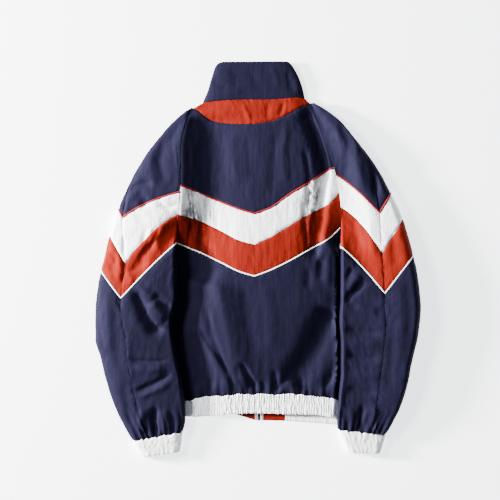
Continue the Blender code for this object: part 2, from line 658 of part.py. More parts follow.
def build_slider_and_pull():
    """The slider straddles the tapes; its pull hangs on a pin between two lugs outside them."""
    top, bottom, half = SLIDER_TOP, SLIDER_TOP - SLIDER_LENGTH, SLIDER_WIDTH / 2
    tape_low = SLIDER_LIFT - SEAM_GAP
    tape_high = SLIDER_LIFT + TAPE_THICKNESS + SEAM_GAP
    outer_low = tape_low - PLATE_THICKNESS[0]
    axis_y = (top + bottom) / 2
    lug_in = PULL_WIDTH / 2 + SEAM_GAP
    x_low, x_high = ZIP_X - half, ZIP_X + half
    plate = block((x_low, bottom, outer_low), (x_high, top, tape_low))
    steps = [
        ("UNION", block((ZIP_X - 2.4, bottom + 0.5, outer_low + 0.1),
                        (ZIP_X + 2.4, top - 0.5, tape_high + 0.5))),
        ("UNION", block((x_low, bottom, tape_high),
                        (x_high, top, tape_high + PLATE_THICKNESS[1]))),
    ]
    for way in (-1, 1):
        ends = sorted((ZIP_X + way * lug_in, ZIP_X + way * (lug_in + LUG_THICKNESS)))
        steps.append(("UNION", block((ends[0], axis_y - EYE_RADIUS, PULL_AXIS_Z - EYE_RADIUS),
                                     (ends[1], axis_y + EYE_RADIUS, tape_low - 0.1))))
    reach = lug_in + LUG_THICKNESS / 2
    steps.append(("UNION", pin(PIN_RADIUS, ZIP_X - reach, ZIP_X + reach, axis_y, PULL_AXIS_Z)))
    combine("zip_slider", plate, steps)

    half = PULL_WIDTH / 2
    eye = pin(EYE_RADIUS, ZIP_X - half, ZIP_X + half, axis_y, PULL_AXIS_Z)
    tab = block((ZIP_X - half, axis_y - PULL_LENGTH, PULL_AXIS_Z - PULL_THICKNESS / 2),
                (ZIP_X + half, axis_y, PULL_AXIS_Z + PULL_THICKNESS / 2))
    hole = pin(HOLE_RADIUS, ZIP_X - half - 1, ZIP_X + half + 1, axis_y, PULL_AXIS_Z)
    pull = combine("zip_pull", eye, [("UNION", tab), ("DIFFERENCE", hole)])
    pivot = (np.array((ZIP_X, axis_y, PULL_AXIS_Z)) - ORIGIN) * MM
    for vertex in pull.data.vertices:
        vertex.co = np.array(vertex.co) - pivot
    pull.location = pivot


# ---- sleeves -----------------------------------------------------------------------
def sleeve_rows():
    """Stations of a sleeve's rows, with a row on each seam."""
    upper = np.linspace(0, RED_STATION, SLEEVE_UPPER_ROWS + 1)
    white = np.linspace(RED_STATION, BAND_STATION, SLEEVE_BAND_ROWS + 1)
    red = np.linspace(BAND_STATION, WHITE_STATION, SLEEVE_BAND_ROWS + 1)
    lower = np.linspace(WHITE_STATION, CUFF_STATION, SLEEVE_LOWER_ROWS + 1)
    return np.concatenate([upper, white[1:], red[1:], lower[1:]])


def under_sleeve(x, y, armhole):
    """Underside of a sleeve: on the surface, or on the body's side and the waistband's end."""
    at_x, at_y, slope = armhole
    out = np.abs(x) - abs(at_x)
    over_side = ease((at_y + slope * out + 42 - y) / 30) * ease((SIDE_SEAM_X + 25 - np.abs(x)) / 25)
    over_band = ease((-250 - y) / 22) * ease((222 - np.abs(x)) / 18)
    return (SLEEVE_LIFT * over_side + (CUFF_LIFT - SLEEVE_LIFT) * over_band) * ease((y + 352) / 24)


def sleeve_place(side, s, c):
    """Outer surface of a sleeve at stations s, a ring place c from its inner edge round."""
    stations, armhole = ((LEFT_STATIONS, LEFT_ARMHOLE), (RIGHT_STATIONS, RIGHT_ARMHOLE))[side]
    inner_y, outer_x, outer_y, seam, drop, bend, height = np.moveaxis(
        through(range(len(stations)), stations, s), -1, 0)
    at_seam = level(inner_y)
    inner_x, edge = at_seam[..., side], at_seam[..., 2]
    f, over = ring_share(c), c <= 1
    seam = np.minimum(seam, 0.96)
    chevron = np.where(f < seam, (f / seam) ** bend, (1 - f) / (1 - seam))
    x = inner_x + (outer_x - inner_x) * f
    y = inner_y + (outer_y - inner_y) * f - drop * chevron * over
    open_to_body = 1 - ease((s - OPEN_STATION) / (TUBE_STATION - OPEN_STATION))
    base = under_sleeve(x, y, armhole)
    fold_out = 0.42 * height
    fold_in = 10.4 + (fold_out - 10.4) * ease((s - WHITE_STATION) / 2)
    fold = fold_in + (fold_out - fold_in) * f
    crown = height * (0.93 + 0.07 * 4 * f * (1 - f))
    start = open_to_body * edge + (1 - open_to_body) * 0.93 * height
    top = start + (crown - start) * ease(f / 0.45)
    full = rounded(1 - f, 0.3) * (open_to_body + (1 - open_to_body) * rounded(f, 0.26))
    flat = rounded(1 - f, 0.12) * (open_to_body + (1 - open_to_body) * rounded(f, 0.12))
    away = ease(f / 0.12) * ease((1 - f) / 0.12)
    gathers = np.sin(f * SLEEVE_END_GATHERS * 2 * math.pi) * SLEEVE_END_GATHER_HEIGHT
    relief = folds(x, y, SLEEVE_FOLDS) + gathers * ease((s - 12.8) / 1.2)
    z = np.where(over, fold + (top - fold) * full + relief * away, fold - (fold - base) * flat)
    return np.stack([x, y, z], -1)


def build_sleeve(side):
    name = ("left_", "right_")[side]
    stations = (LEFT_STATIONS, RIGHT_STATIONS)[side]
    s = sleeve_rows()
    seam = through(range(len(stations)), stations, s)[:, 3]
    turned = np.arccos(1 - 2 * np.minimum(seam, 2 - seam)) / math.pi
    seam_c = np.where(seam <= 1, turned, 2 - turned)[:, None]
    back = np.linspace(0, 1, SLEEVE_BACK_COLUMNS + 1)[None]
    front = np.linspace(0, 1, SLEEVE_FRONT_COLUMNS + 1)[None, 1:]
    c = np.concatenate([seam_c * back, seam_c + (2 - seam_c) * front], axis=1)
    grid = sleeve_place(side, np.repeat(s[:, None], c.shape[1], axis=1), c)
    facing = normals(grid) * (-1, 1)[side]
    sewn = s <= OPEN_STATION
    facing[sewn, 0], facing[sewn, -1] = (0, 0, 1), (0, 0, -1)
    closed = ease((s - OPEN_STATION) / (TUBE_STATION - OPEN_STATION))[:, None]
    fold = facing[:, 0] + facing[:, -1] + (1e-9, 0, 0)
    fold /= np.linalg.norm(fold, axis=-1, keepdims=True)
    for edge in (0, -1):
        turned_edge = facing[:, edge] * (1 - closed) + fold * closed
        facing[:, edge] = turned_edge / np.linalg.norm(turned_edge, axis=-1, keepdims=True)
    facing[-1] = squared(facing[-1], cuff_way(side))
    inner = grid - facing * SHELL
    row = 0
    for part, rows, colour in (("upper", SLEEVE_UPPER_ROWS, NAVY), ("white", SLEEVE_BAND_ROWS, WHITE),
                               ("red", SLEEVE_BAND_ROWS, RED), ("lower", SLEEVE_LOWER_ROWS, NAVY)):
        band = slice(row, row + rows + 1)
        in_gap = RAGLAN_GAP if part != "lower" else SEAM_GAP
        for panel, columns, gaps in (
                ("back", slice(0, SLEEVE_BACK_COLUMNS + 1), (in_gap, SEAM_GAP)),
                ("front", slice(SLEEVE_BACK_COLUMNS, None), (SEAM_GAP, in_gap))):
            gaps = (SEAM_GAP, SEAM_GAP) + gaps
            wall(f"{name}sleeve_{panel}_{part}", inset(grid[band, columns], gaps),
                 inset(inner[band, columns], gaps), colour)
        row += rows
        if part in ("upper", "red"):
            kind = ("red", PIPING_RED) if part == "upper" else ("white", WHITE)
            shown = slice(0, int(np.searchsorted(c[row], 1.0)) + 1)
            piping(f"{name}sleeve_piping_{kind[0]}", grid[row - 1:row + 2, shown],
                   facing[row, shown].copy(), kind[1])


def cuff_way(side):
    """Direction along a sleeve at its cuff, square to the cuff's seam."""
    inner, outer = (LEFT_CUFF, RIGHT_CUFF)[side][:2]
    return (inner[1] - outer[1], outer[0] - inner[0], 0)


def build_cuff(name, corners, side):
    """A gathered cuff: a ring of ridges over a plain inside, flat underneath."""
    in_top, out_top, in_end, out_end = (np.array(p, float) for p in corners)
    t = np.linspace(0, 1, 3)[:, None]
    c = np.linspace(0, 2, 2 * CUFF_RIDGES + 1)[None, :-1]
    f = ring_share(c)[..., None]
    start, end = in_top + (out_top - in_top) * f, in_end + (out_end - in_end) * f
    plan = start + (end - start) * t[..., None]
    height = CUFF_HEIGHTS[0] + (CUFF_HEIGHTS[1] - CUFF_HEIGHTS[0]) * t
    fold = height * 0.42
    share = f[..., 0]
    over = rounded(share, 0.3) * rounded(1 - share, 0.3)
    flat = rounded(share, 0.14) * rounded(1 - share, 0.14)
    z = np.where(c <= 1, fold + (height - fold) * over, fold - fold * flat)
    grid = np.dstack([plan, z])
    padded = np.concatenate([grid[:, -1:], grid, grid[:, :1]], axis=1)
    facing = normals(padded)[:, 1:-1] * (-1, 1)[side]
    facing[0] = squared(facing[0], cuff_way(side))
    inner = grid - facing * DOUBLED
    ridge = (np.arange(c.size) % 2) * (c[0] < 1) * CUFF_RIDGE_HEIGHT
    outer = grid + facing * ridge[None, :, None]
    outer, inner = (inset_rows(part, SEAM_GAP) for part in (outer, inner))
    wall(name, outer, inner, WHITE, ring=True)


def inset_rows(grid, gap):
    """Move a ring's first row in by half a seam gap."""
    grid = grid.copy()
    way = grid[1] - grid[0]
    grid[0] += way / np.linalg.norm(way, axis=-1, keepdims=True) * gap / 2
    return grid


# ---- the jacket --------------------------------------------------------------------
for leftover in list(bpy.data.objects):
    bpy.data.objects.remove(leftover)

neck_left, neck_right = build_collar()
build_back()
build_back_waistband()
build_front("front_left", 0, neck_left)
build_front("front_right", 1, neck_right)
for side in (0, 1):
    build_sleeve(side)
build_cuff("left_cuff", LEFT_CUFF, 0)
build_cuff("right_cuff", RIGHT_CUFF, 1)
build_front_band("waistband_front_left", -194, HEM_TAB_LEFT, 4, WHITE)
build_front_band("hem_tab_left", HEM_TAB_LEFT, ZIP_X - TAPE_HALF_WIDTH, 2, RED)
build_front_band("hem_tab_right", ZIP_X + TAPE_HALF_WIDTH, HEM_TAB_RIGHT, 2, RED)
build_front_band("waistband_front_right", HEM_TAB_RIGHT, 198, 4, WHITE)
tape_top = SLIDER_TOP + 2
zip_strip("zip_tape_left", ZIP_X - TAPE_HALF_WIDTH, ZIP_X - CHAIN_HALF_WIDTH, tape_top,
          TAPE_THICKNESS, WHITE)
zip_strip("zip_tape_right", ZIP_X + CHAIN_HALF_WIDTH, ZIP_X + TAPE_HALF_WIDTH, tape_top,
          TAPE_THICKNESS, WHITE)
zip_strip("zip_chain", ZIP_X - CHAIN_HALF_WIDTH, ZIP_X + CHAIN_HALF_WIDTH,
          SLIDER_TOP - SLIDER_LENGTH - SEAM_GAP, CHAIN_THICKNESS, METAL)
build_slider_and_pull()
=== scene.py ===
import math

import bmesh
import bpy
import numpy as np
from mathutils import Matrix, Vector, noise


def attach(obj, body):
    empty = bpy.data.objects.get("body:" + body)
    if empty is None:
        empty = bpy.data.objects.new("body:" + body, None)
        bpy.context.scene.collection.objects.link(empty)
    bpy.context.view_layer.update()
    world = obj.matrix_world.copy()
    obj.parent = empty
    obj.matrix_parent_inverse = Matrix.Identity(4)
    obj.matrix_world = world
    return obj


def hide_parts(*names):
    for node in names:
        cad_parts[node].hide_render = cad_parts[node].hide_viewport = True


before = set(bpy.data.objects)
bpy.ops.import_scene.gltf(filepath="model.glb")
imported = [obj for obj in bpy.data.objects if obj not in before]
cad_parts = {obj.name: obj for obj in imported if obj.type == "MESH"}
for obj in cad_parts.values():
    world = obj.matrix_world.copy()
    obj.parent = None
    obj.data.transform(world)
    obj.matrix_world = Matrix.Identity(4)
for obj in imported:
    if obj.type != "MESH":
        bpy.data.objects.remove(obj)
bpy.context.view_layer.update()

# ---- back panels -----------------------------------------------------------------------
# The back is five panels of crinkled nylon sewn one under the other: a red crescent at the
# neck, the navy yoke, a white and a red chevron band, and the navy lower back, which is
# gathered into the waistband. Tables are in millimetres on the surface the jacket lies on.
ORIGIN = (0.8, 1.8, 0.0)
CLOTH = 1.1                 # thickness of the shell with its lining
SEAM = 0.15                 # each panel stops this far from the line of its seam
TURNED = 1.2                # its lining side runs on this far under its neighbour
GRAIN = 3.3                 # spacing of the points along a panel
PRESSED, BAND_PRESSED = 3.5, 5.3
LEFT_RISE = 88.0            # how far in from its left side the back comes to its full height
RIGHT_RISE = (40.0, 9.0)    # the same from its right side, above the bands and below them
BACK_WIDE = 330             # width of the back, for the spacing of its points across
MIDDLE = -6                 # x of the points of the chevrons
LEVELS = np.array([
    # y, left seam, right seam, height at the left seam, at the right seam, at the crown
    (325, -126, 107, 8.6, 8.6, 13.0),
    (307, -137, 114, 10.0, 9.0, 15.0),
    (286, -145, 122, 15.0, 10.0, 17.0),
    (264, -151, 131, 22.0, 11.0, 18.5),
    (225, -157, 144, 26.5, 12.0, 20.5),
    (188, -157, 156, 28.5, 12.5, 22.0),
    (160, -157.5, 163, 30.0, 15.0, 23.0),
    (139, -158, 167, 30.5, 17.5, 23.5),
    (92, -161, 170, 29.0, 17.5, 24.5),
    (65, -163, 170, 18.0, 13.0, 25.0),
    (34, -164, 169, 9.0, 7.5, 26.0),
    (10, -165, 169, 5.0, 5.0, 26.5),
    (-21, -164, 169, PRESSED, PRESSED, 26.5),
    (-72, -163, 169, PRESSED, PRESSED, 26.0),
    (-124, -173, 167, PRESSED, PRESSED, 25.0),
    (-175, -168, 170, PRESSED, PRESSED, 23.0),
    (-230, -157, 170, PRESSED, PRESSED, 19.5),
    (-272, -150, 166, BAND_PRESSED, BAND_PRESSED, 15.0),
    (-288, -148, 165, BAND_PRESSED, BAND_PRESSED, 13.0),
    (-324, -147, 162, BAND_PRESSED, BAND_PRESSED, 11.5),
    (-352, -152, 163, BAND_PRESSED, BAND_PRESSED, 11.0),
])
YOKE_TOP = (
    ((-134, 310), (-122, 305), (-108, 293), (-91, 284), (-67, 279), (-35, 277), (MIDDLE, 277)),
    ((MIDDLE, 277), (30, 283), (50, 291), (73, 303), (93, 314), (109, 319)),
)
RED_PIPING = (
    ((-157, 152), (-118, 136), (-77, 119), (-36, 103), (MIDDLE, 94)),
    ((MIDDLE, 94), (26, 106), (67, 135), (108, 159), (142, 182), (156, 188)),
)
BAND_SEAM = (
    ((-161, 92), (-118, 79), (-77, 60), (-36, 39), (MIDDLE, 31)),
    ((MIDDLE, 31), (26, 46), (67, 71), (108, 94), (145, 114), (169, 139)),
)
WHITE_PIPING = (
    ((-164, 34), (-118, 15), (-77, -4), (-36, -24), (MIDDLE, -33)),
    ((MIDDLE, -33), (26, -21), (67, -1), (108, 22), (145, 43), (170, 66)),
)
WAIST_TOP = (
    ((-194, -290), (-147, -288), (-108, -281), (-56, -276), (MIDDLE, -274)),
    ((MIDDLE, -274), (87, -275), (161, -285), (198, -290)),
)
COLLAR_SEAM = (
    ((-124, 314), (-112, 320), (-97, 324), (-67, 326), (MIDDLE, 327)),
    ((MIDDLE, 327), (26, 327), (67, 330), (87, 331), (101, 328)),
)
LEFT_SIDE = ((-164, 34), (-194, -1), (-227, -39), (-253, -78), (-263, -119), (-259, -175),
             (-239, -236), (-194, -290))
RIGHT_SIDE = ((170, 66), (168.5, 42), (168, 24), (194, -9), (229, -44), (255, -83), (265, -124),
              (259, -179), (239, -238), (198, -290))

STREAKED = {    # height of the narrow streaks down each panel: outside its folds, and in them
    "neck_crescent": (0.12, 0.2), "back_yoke": (0.22, 0.6), "back_band_white": (0.5, 2.6),
    "back_band_red": (0.32, 1.5), "back_lower": (0.2, 0.55)}

# Creases drawn downwards: half widths on the left and the right of the line, height, line.
BACK_CREASES = (
    # left, right, height, points
    (34, 58, -13.0, ((-104, 300), (-103, 180), (-108, 70), (-114, -20), (-120, -52))),
    (24, 7, -8.5, ((100, 312), (126, 262), (138, 214), (141, 172), (134, 118), (129, 70),
                   (122, 30), (112, -4))),
    (60, 30, -4.0, ((160, 20), (166, -270))),
    (6, 6, -2.4, ((95, 232), (106, 170), (100, 110), (94, 44))),
    (5, 5, 2.2, ((104, 118), (106, 92), (104, 46))),
    (14, 28, 4.6, ((-92, -22), (-82, -42), (-64, -127), (-48, -195), (-24, -262))),
    (12, 3.5, 3.2, ((-132, -134), (-103, -177), (-77, -211), (-60, -237), (-57, -272))),
    (8, 4, -3.4, ((-104, -92), (-92, -150), (-70, -210), (-48, -262))),
    (12, 3, -5.5, ((-36, -204), (-31, -211), (-12, -242), (2, -270))),
    (5, 4, -2.2, ((-44, -212), (-30, -262))),
    (5, 4, -3.8, ((34, -220), (37, -246), (38, -274))),
    (14, 14, -3.0, ((162, -58), (156, -92), (146, -134))),
    (25, 40, -10.5, ((152, -92), (132, -142), (112, -184), (90, -218), (66, -256))),
    (7, 5, -3.0, ((64, -236), (48, -256), (36, -274))),
    (8, 12, 1.6, ((170, -96), (152, -150), (134, -196), (118, -236), (104, -270))),
    (10, 5, -4.4, ((168, -196), (152, -236), (136, -268))),
    (5, 6, 2.6, ((172, -224), (160, -262))),
    (14, 16, 1.6, ((12, -46), (28, -117), (33, -190))),
    (9, 14, -1.2, ((-26, -60), (-20, -130), (-8, -200))),
    (18, 30, -5.0, ((-126, -140), (-118, -200), (-112, -266))),
    (5, 5, -2.8, ((-96, -240), (-98, -275))),
    (5, 5, -2.2, ((12, -244), (14, -275))),
    (4, 5, 1.8, ((66, -246), (70, -275))),
    (4, 5, -2.6, ((88, -240), (92, -275))),
    (6, 7, -2.4, ((104, -14), (102, -62))),
    (5, 6, -2.6, ((128, 4), (126, -44))),
    (7, 8, 2.4, ((146, 20), (140, -60))),
    (14, 16, 1.2, ((-58, 262), (-50, 200), (-38, 150))),
    (9, 8, -1.1, ((-22, 262), (-12, 150))),
    (9, 9, -1.1, ((38, 262), (28, 130))),
    (10, 9, 1.6, ((62, 282), (50, 220), (58, 150))),
    (5, 5, -1.3, ((-88, 118), (-84, 60))),
    (4, 4, -1.6, ((-138, 130), (-134, 40))),
    (4, 5, 1.5, ((-124, 126), (-122, 40))),
    (5, 4, 1.4, ((-30, 320), (-14, 282))),
    (6, 7, -1.5, ((22, 322), (18, 286))),
    (5, 4, -1.4, ((56, 322), (44, 292))),
)


def through(places, rows, at):
    """Each column of rows as a smooth line over places, with no overshoot, read at 'at'."""
    places, rows = np.asarray(places, float), np.asarray(rows, float)
    at = np.clip(np.asarray(at, float), places[0], places[-1])
    steps = np.diff(places)[:, None]
    rates = np.diff(rows, axis=0) / steps
    slopes = np.zeros_like(rows)
    slopes[0], slopes[-1] = rates[0], rates[-1]
    same_way = rates[:-1] * rates[1:] > 0
    total = np.where(same_way, rates[:-1] + rates[1:], 1.0)
    slopes[1:-1] = np.where(same_way, 2 * rates[:-1] * rates[1:] / total, 0.0)
    low = np.clip(np.searchsorted(places, at, side="right") - 1, 0, len(places) - 2)
    step = steps[low]
    t = (at - places[low])[..., None] / step
    return ((1 + 2 * t) * (1 - t) ** 2 * rows[low] + t * (1 - t) ** 2 * step * slopes[low]
            + t * t * (3 - 2 * t) * rows[low + 1] + t * t * (t - 1) * step * slopes[low + 1])


def distances(points):
    """Distance of each point from the first, along the line through them."""
    return np.concatenate([[0], np.cumsum(np.hypot(*np.diff(points, axis=0).T))])


def along(points, t):
    """Places along a smooth line through the points; t is 0 to 1 by distance."""
    points = np.asarray(points, float)
    lengths = distances(points)
    return through(lengths / lengths[-1], points, t)


def across(seam, u):
    """Places along a seam of two arms; u is 0 at its left end, 0.5 at the middle, 1 at right."""
    left, right = along(seam[0], u * 2), along(seam[1], u * 2 - 1)
    return np.where((u < 0.5)[..., None], left, right)


def ease(t):
    """0 to 1 with a soft start and end, and level outside."""
    t = np.clip(t, 0, 1)
    return t * t * (3 - 2 * t)


def level(y):
    """Left seam, right seam, their heights and the crown's height of the body at y."""
    return through(LEVELS[::-1, 0], LEVELS[::-1, 1:], y)


def waist_scallops(x):
    """How far the gathers pull the waist seam up and down."""
    return 1.1 * np.sin(x * 0.105 + 1.2 * np.sin(x * 0.031)) + 0.8 * np.sin(x * 0.29 + 0.6)


def neck_line(x):
    """y of the neck seam at the back, for each x."""
    points = np.array(COLLAR_SEAM[0] + COLLAR_SEAM[1][1:], float)
    return through(points[:, 0], points[:, 1:], x)[..., 0]


def creases(x, y, table):
    """Height of the soft ridges and troughs that the cloth was pressed or pulled into."""
    total = np.zeros_like(x)
    for left, right, height, line in table:
        nearest, aside, ahead = np.full_like(x, np.inf), np.zeros_like(x), np.zeros_like(x)
        gone = 0.0
        for (x0, y0), (x1, y1) in zip(line[:-1], line[1:]):
            run = math.hypot(x1 - x0, y1 - y0)
            t = (((x - x0) * (x1 - x0) + (y - y0) * (y1 - y0)) / run ** 2).clip(0, 1)
            away = np.hypot(x - x0 - t * (x1 - x0), y - y0 - t * (y1 - y0))
            closer = away < nearest
            nearest = np.where(closer, away, nearest)
            aside = np.where(closer, (x - x0) * (y1 - y0) - (y - y0) * (x1 - x0), aside)
            ahead = np.where(closer, gone + t * run, ahead)
            gone += run
        ends = ease(np.minimum(ahead, gone - ahead) / min(0.3 * gone, 26) + 0.1)
        total += height * ends * np.exp(-(nearest / np.where(aside > 0, left, right)) ** 2)
    return total


def crumple(points, size, seed):
    """Uneven crumples of crisp nylon, longer down the cloth than across: about -1 to 1."""
    stretched = points.reshape(-1, 3) * (1 / size, 0.5 / size, 1 / size) + (0, 0, seed)
    values = []
    for x, y, z in stretched:
        broad = noise.noise(Vector((x * 0.4, y * 0.6, z)))
        ridge = abs(noise.noise(Vector((x + 1.6 * broad, y, z + 5))))
        fine = abs(noise.noise(Vector((x * 2.2, y * 2.6 + broad, z + 9))))
        values.append(0.9 * broad + 0.55 - 2.2 * ridge + 0.25 - 0.9 * fine)
    return np.array(values).reshape(points.shape[:-1])


def spaced(length, step=GRAIN):
    """Shares along a panel: even inside, close together beside the seams at its ends."""
    near = np.array([0, 0.7, 1.6, 3.0, 5.0])
    inside = np.linspace(7.6, length - 7.6, max(2, round((length - 15) / step)))
    return np.concatenate([near, inside, (length - near)[::-1]]) / length


def from_seam(shares, length):
    """Distance of each row or column from the nearer seam, in millimetres."""
    return np.minimum(shares, 1 - shares) * length


def seam_dip(distance):
    """How far the cloth dips where it is sewn."""
    return -1.1 * np.exp(-(distance / 2.2) ** 2) - 0.5 * np.exp(-(distance / 7) ** 2)


def back_height(x, y):
    """Top of the back as it lies: low at the sides, where the sleeves press it, full inside."""
    left, right, left_edge, right_edge, crown = np.moveaxis(level(y), -1, 0)
    pressed = PRESSED + (BAND_PRESSED - PRESSED) * ease((-215 - y) / 45)
    kept = [(edge > pressed) * (1 - ease(past / 12.0)) for edge, past in
            ((left_edge, left - x), (right_edge, x - right))]
    left_edge = pressed + (left_edge - pressed) * kept[0]
    right_edge = pressed + (right_edge - pressed) * kept[1]
    z = crown - (crown - left_edge) * (1 - ease((x - left) / LEFT_RISE))
    right_rise = RIGHT_RISE[0] + (RIGHT_RISE[1] - RIGHT_RISE[0]) * ease((60 - y) / 60)
    z -= (crown - right_edge) * (1 - ease((right - x) / right_rise))
    inside = ease((x - left) / 16) * ease((right - x) / 16)
    at_hem = 1 - 0.7 * ease((-262 - y) / 14)
    return z + creases(x, y, BACK_CREASES) * inside * at_hem


def filled(top, bottom, left, right, u, v):
    """Grid of places between four edge lines, at shares u across and v down."""
    u, v = u[:, None], v[:, None, None]
    flat = (1 - v) * top + v * bottom
    return flat + ((1 - u) * (left[:, None] - flat[:, :1]) + u * (right[:, None] - flat[:, -1:]))


def unit(ways):
    """Each way at a length of 1."""
    return ways / np.linalg.norm(ways, axis=-1, keepdims=True)


def normals(grid):
    """Unit normals at the points of a grid."""
    return unit(np.cross(np.gradient(grid, axis=0), np.gradient(grid, axis=1)))


def drawn_in(grid, gaps):
    """Move a panel's edges in from its seams: first row, last row, first and last column."""
    grid = grid.copy()
    for lines_of, pair in ((grid, gaps[:2]), (grid.swapaxes(0, 1), gaps[2:])):
        for edge, inner, gap in ((0, 1, pair[0]), (-1, -2, pair[1])):
            lines_of[edge] += unit(lines_of[inner] - lines_of[edge]) * gap
    return grid


def lay(name, points, faces, finish):
    """Make one piece of the jacket from points in millimetres."""
    mesh = bpy.data.meshes.new(name)
    mesh.from_pydata([tuple(p) for p in (np.asarray(points) - ORIGIN) * 0.001], [], faces)
    mesh.update()
    turned = bmesh.new()
    turned.from_mesh(mesh)
    bmesh.ops.recalc_face_normals(turned, faces=turned.faces)
    if turned.calc_volume(signed=True) < 0:
        bmesh.ops.reverse_faces(turned, faces=turned.faces)
    turned.to_mesh(mesh)
    turned.free()
    mesh.shade_smooth()
    mesh.set_sharp_from_angle(angle=math.radians(60))
    mesh.materials.append(finish)
    piece = bpy.data.objects.new(name, mesh)
    bpy.context.scene.collection.objects.link(piece)
    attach(piece, "jacket")
    return piece


def shell(name, outer, inner, finish, ring=False):
    """A panel of cloth between two grids of points; a ring joins its last column to its first."""
    rows, columns = outer.shape[:2]
    count, spans = rows * columns, columns if ring else columns - 1
    faces = []
    for i in range(rows - 1):
        for j in range(spans):
            a, b = i * columns + j, i * columns + (j + 1) % columns
            c, d = b + columns, a + columns
            faces += [(a, b, c, d), (a + count, d + count, c + count, b + count)]
    rim = [(i * columns + j, i * columns + (j + 1) % columns)
           for i in (0, rows - 1) for j in range(spans)]
    if not ring:
        rim += [(i * columns + j, (i + 1) * columns + j)
                for j in (0, columns - 1) for i in range(rows - 1)]
    faces += [(a, b, b + count, a + count) for a, b in rim]
    return lay(name, np.concatenate([outer.reshape(-1, 3), inner.reshape(-1, 3)]), faces, finish)


def tube_faces(first, rings, count):
    """Faces of a closed tube, of rings of count points from point number first on."""
    last = first + (rings - 1) * count
    faces = [(a + k, a + (k + 1) % count, a + count + (k + 1) % count, a + count + k)
             for a in range(first, last, count) for k in range(count)]
    return faces + [tuple(range(first, first + count)), tuple(range(last, last + count))]


def new_finish(name):
    """A new material and its node tree."""
    finish = bpy.data.materials.new(name)
    finish.use_nodes = True
    return finish, finish.node_tree


def feed(tree, node, inputs):
    """Set a node's sockets, each to a value or to the output that feeds it."""
    for socket, value in inputs.items():
        if isinstance(value, bpy.types.NodeSocket):
            tree.links.new(value, node.inputs[socket])
        else:
            node.inputs[socket].default_value = value


def add_node(tree, kind, inputs, **settings):
    """Add a shader node with its settings and inputs, and give its outputs."""
    node = tree.nodes.new("ShaderNode" + kind)
    for setting, value in settings.items():
        setattr(node, setting, value)
    feed(tree, node, inputs)
    return node.outputs


def crinkle_group():
    """Shader group of crisp nylon: fine streaks down the cloth over broader soft crumples."""
    group = bpy.data.node_groups.new("crinkled nylon", "ShaderNodeTree")
    for label, value in (("Streaks per metre", 150.0), ("Length", 0.14)):
        socket = group.interface.new_socket(label, in_out="INPUT", socket_type="NodeSocketFloat")
        socket.default_value = value
    for label in ("Height", "Streaks", "Cloud"):
        group.interface.new_socket(label, in_out="OUTPUT", socket_type="NodeSocketFloat")
    given = group.nodes.new("NodeGroupInput").outputs
    place = add_node(group, "TexCoord", {})["Object"]
    shape = add_node(group, "CombineXYZ", {"X": 1.0, "Y": given["Length"], "Z": 1.0})["Vector"]
    stretched = add_node(group, "VectorMath", {0: place, 1: shape}, operation="MULTIPLY")
    streaks = add_node(group, "TexNoise", {
        "Vector": stretched["Vector"], "Scale": given["Streaks per metre"], "Detail": 3.5,
        "Roughness": 0.6, "Distortion": 0.35}, noise_dimensions="4D")["Fac"]
    crumples = add_node(group, "TexNoise", {
        "Vector": place, "Scale": 85.0, "Detail": 3.0, "Distortion": 0.8})["Fac"]
    cloud = add_node(group, "TexNoise", {"Vector": place, "Scale": 12.0, "Detail": 2.0})["Fac"]
    fold = add_node(group, "Math", {0: crumples, 1: 0.14}, operation="PINGPONG")["Value"]
    height = add_node(group, "Math", {0: fold, 1: 1.6, 2: streaks}, operation="MULTIPLY_ADD")
    mask = add_node(group, "MapRange", {"Value": streaks, "From Min": 0.38, "From Max": 0.7})
    feed(group, group.nodes.new("NodeGroupOutput"), {
        "Height": height["Value"], "Streaks": mask["Result"], "Cloud": cloud})
    return group


CRINKLES = crinkle_group()


def cloth_finish(name, sheen_and_wear, body, rough, tint, streaks=150.0, length=0.12, bump=0.4, gloss=0.35):
    """Nylon: its colour is lighter on the raised streaks of the crinkles, a painted sheen there,
    and a little cloudy.

    Where a mesh has the attribute "folded", a dark shade is painted over that colour.
    """
    finish, tree = new_finish(name)
    crinkle = add_node(tree, "Group", {"Streaks per metre": streaks, "Length": length},
                       node_tree=CRINKLES)
    height, cloud = crinkle["Height"], crinkle["Cloud"]
    # painted sheen: the raised streaks take the lighter first colour, patchy in random clouds
    painted_sheen_mask = add_node(tree, "Math", {0: crinkle["Streaks"], 1: cloud}, operation="MULTIPLY")
    colour = add_node(tree, "Mix", {
        "A": (*body, 1), "B": (*sheen_and_wear, 1), "Factor": painted_sheen_mask["Value"]}, data_type="RGBA")
    # painted shade: where a mesh carries "folded", the colour darkens towards 0.12 of its own
    # colour, more where the crinkles are high
    folded = add_node(tree, "Attribute", {}, attribute_name="folded")
    uneven = add_node(tree, "Math", {0: folded["Fac"], 1: height},
                      operation="MULTIPLY", use_clamp=True)
    shaded = add_node(tree, "Mix", {
        "A": colour["Result"], "B": (*(0.12 * part for part in body), 1),
        "Factor": uneven["Value"]}, data_type="RGBA")
    dulled = add_node(tree, "MapRange", {
        "Value": cloud, "To Min": rough + 0.08, "To Max": rough - 0.06})
    raised = add_node(tree, "Bump", {
        "Strength": 1.0, "Distance": bump * 0.001, "Height": height})
    feed(tree, tree.nodes["Principled BSDF"], {
        "Base Color": shaded["Result"], "Roughness": dulled["Result"], "Normal": raised["Normal"],
        "Specular IOR Level": gloss, "Specular Tint": (*tint, 1)})
    return finish


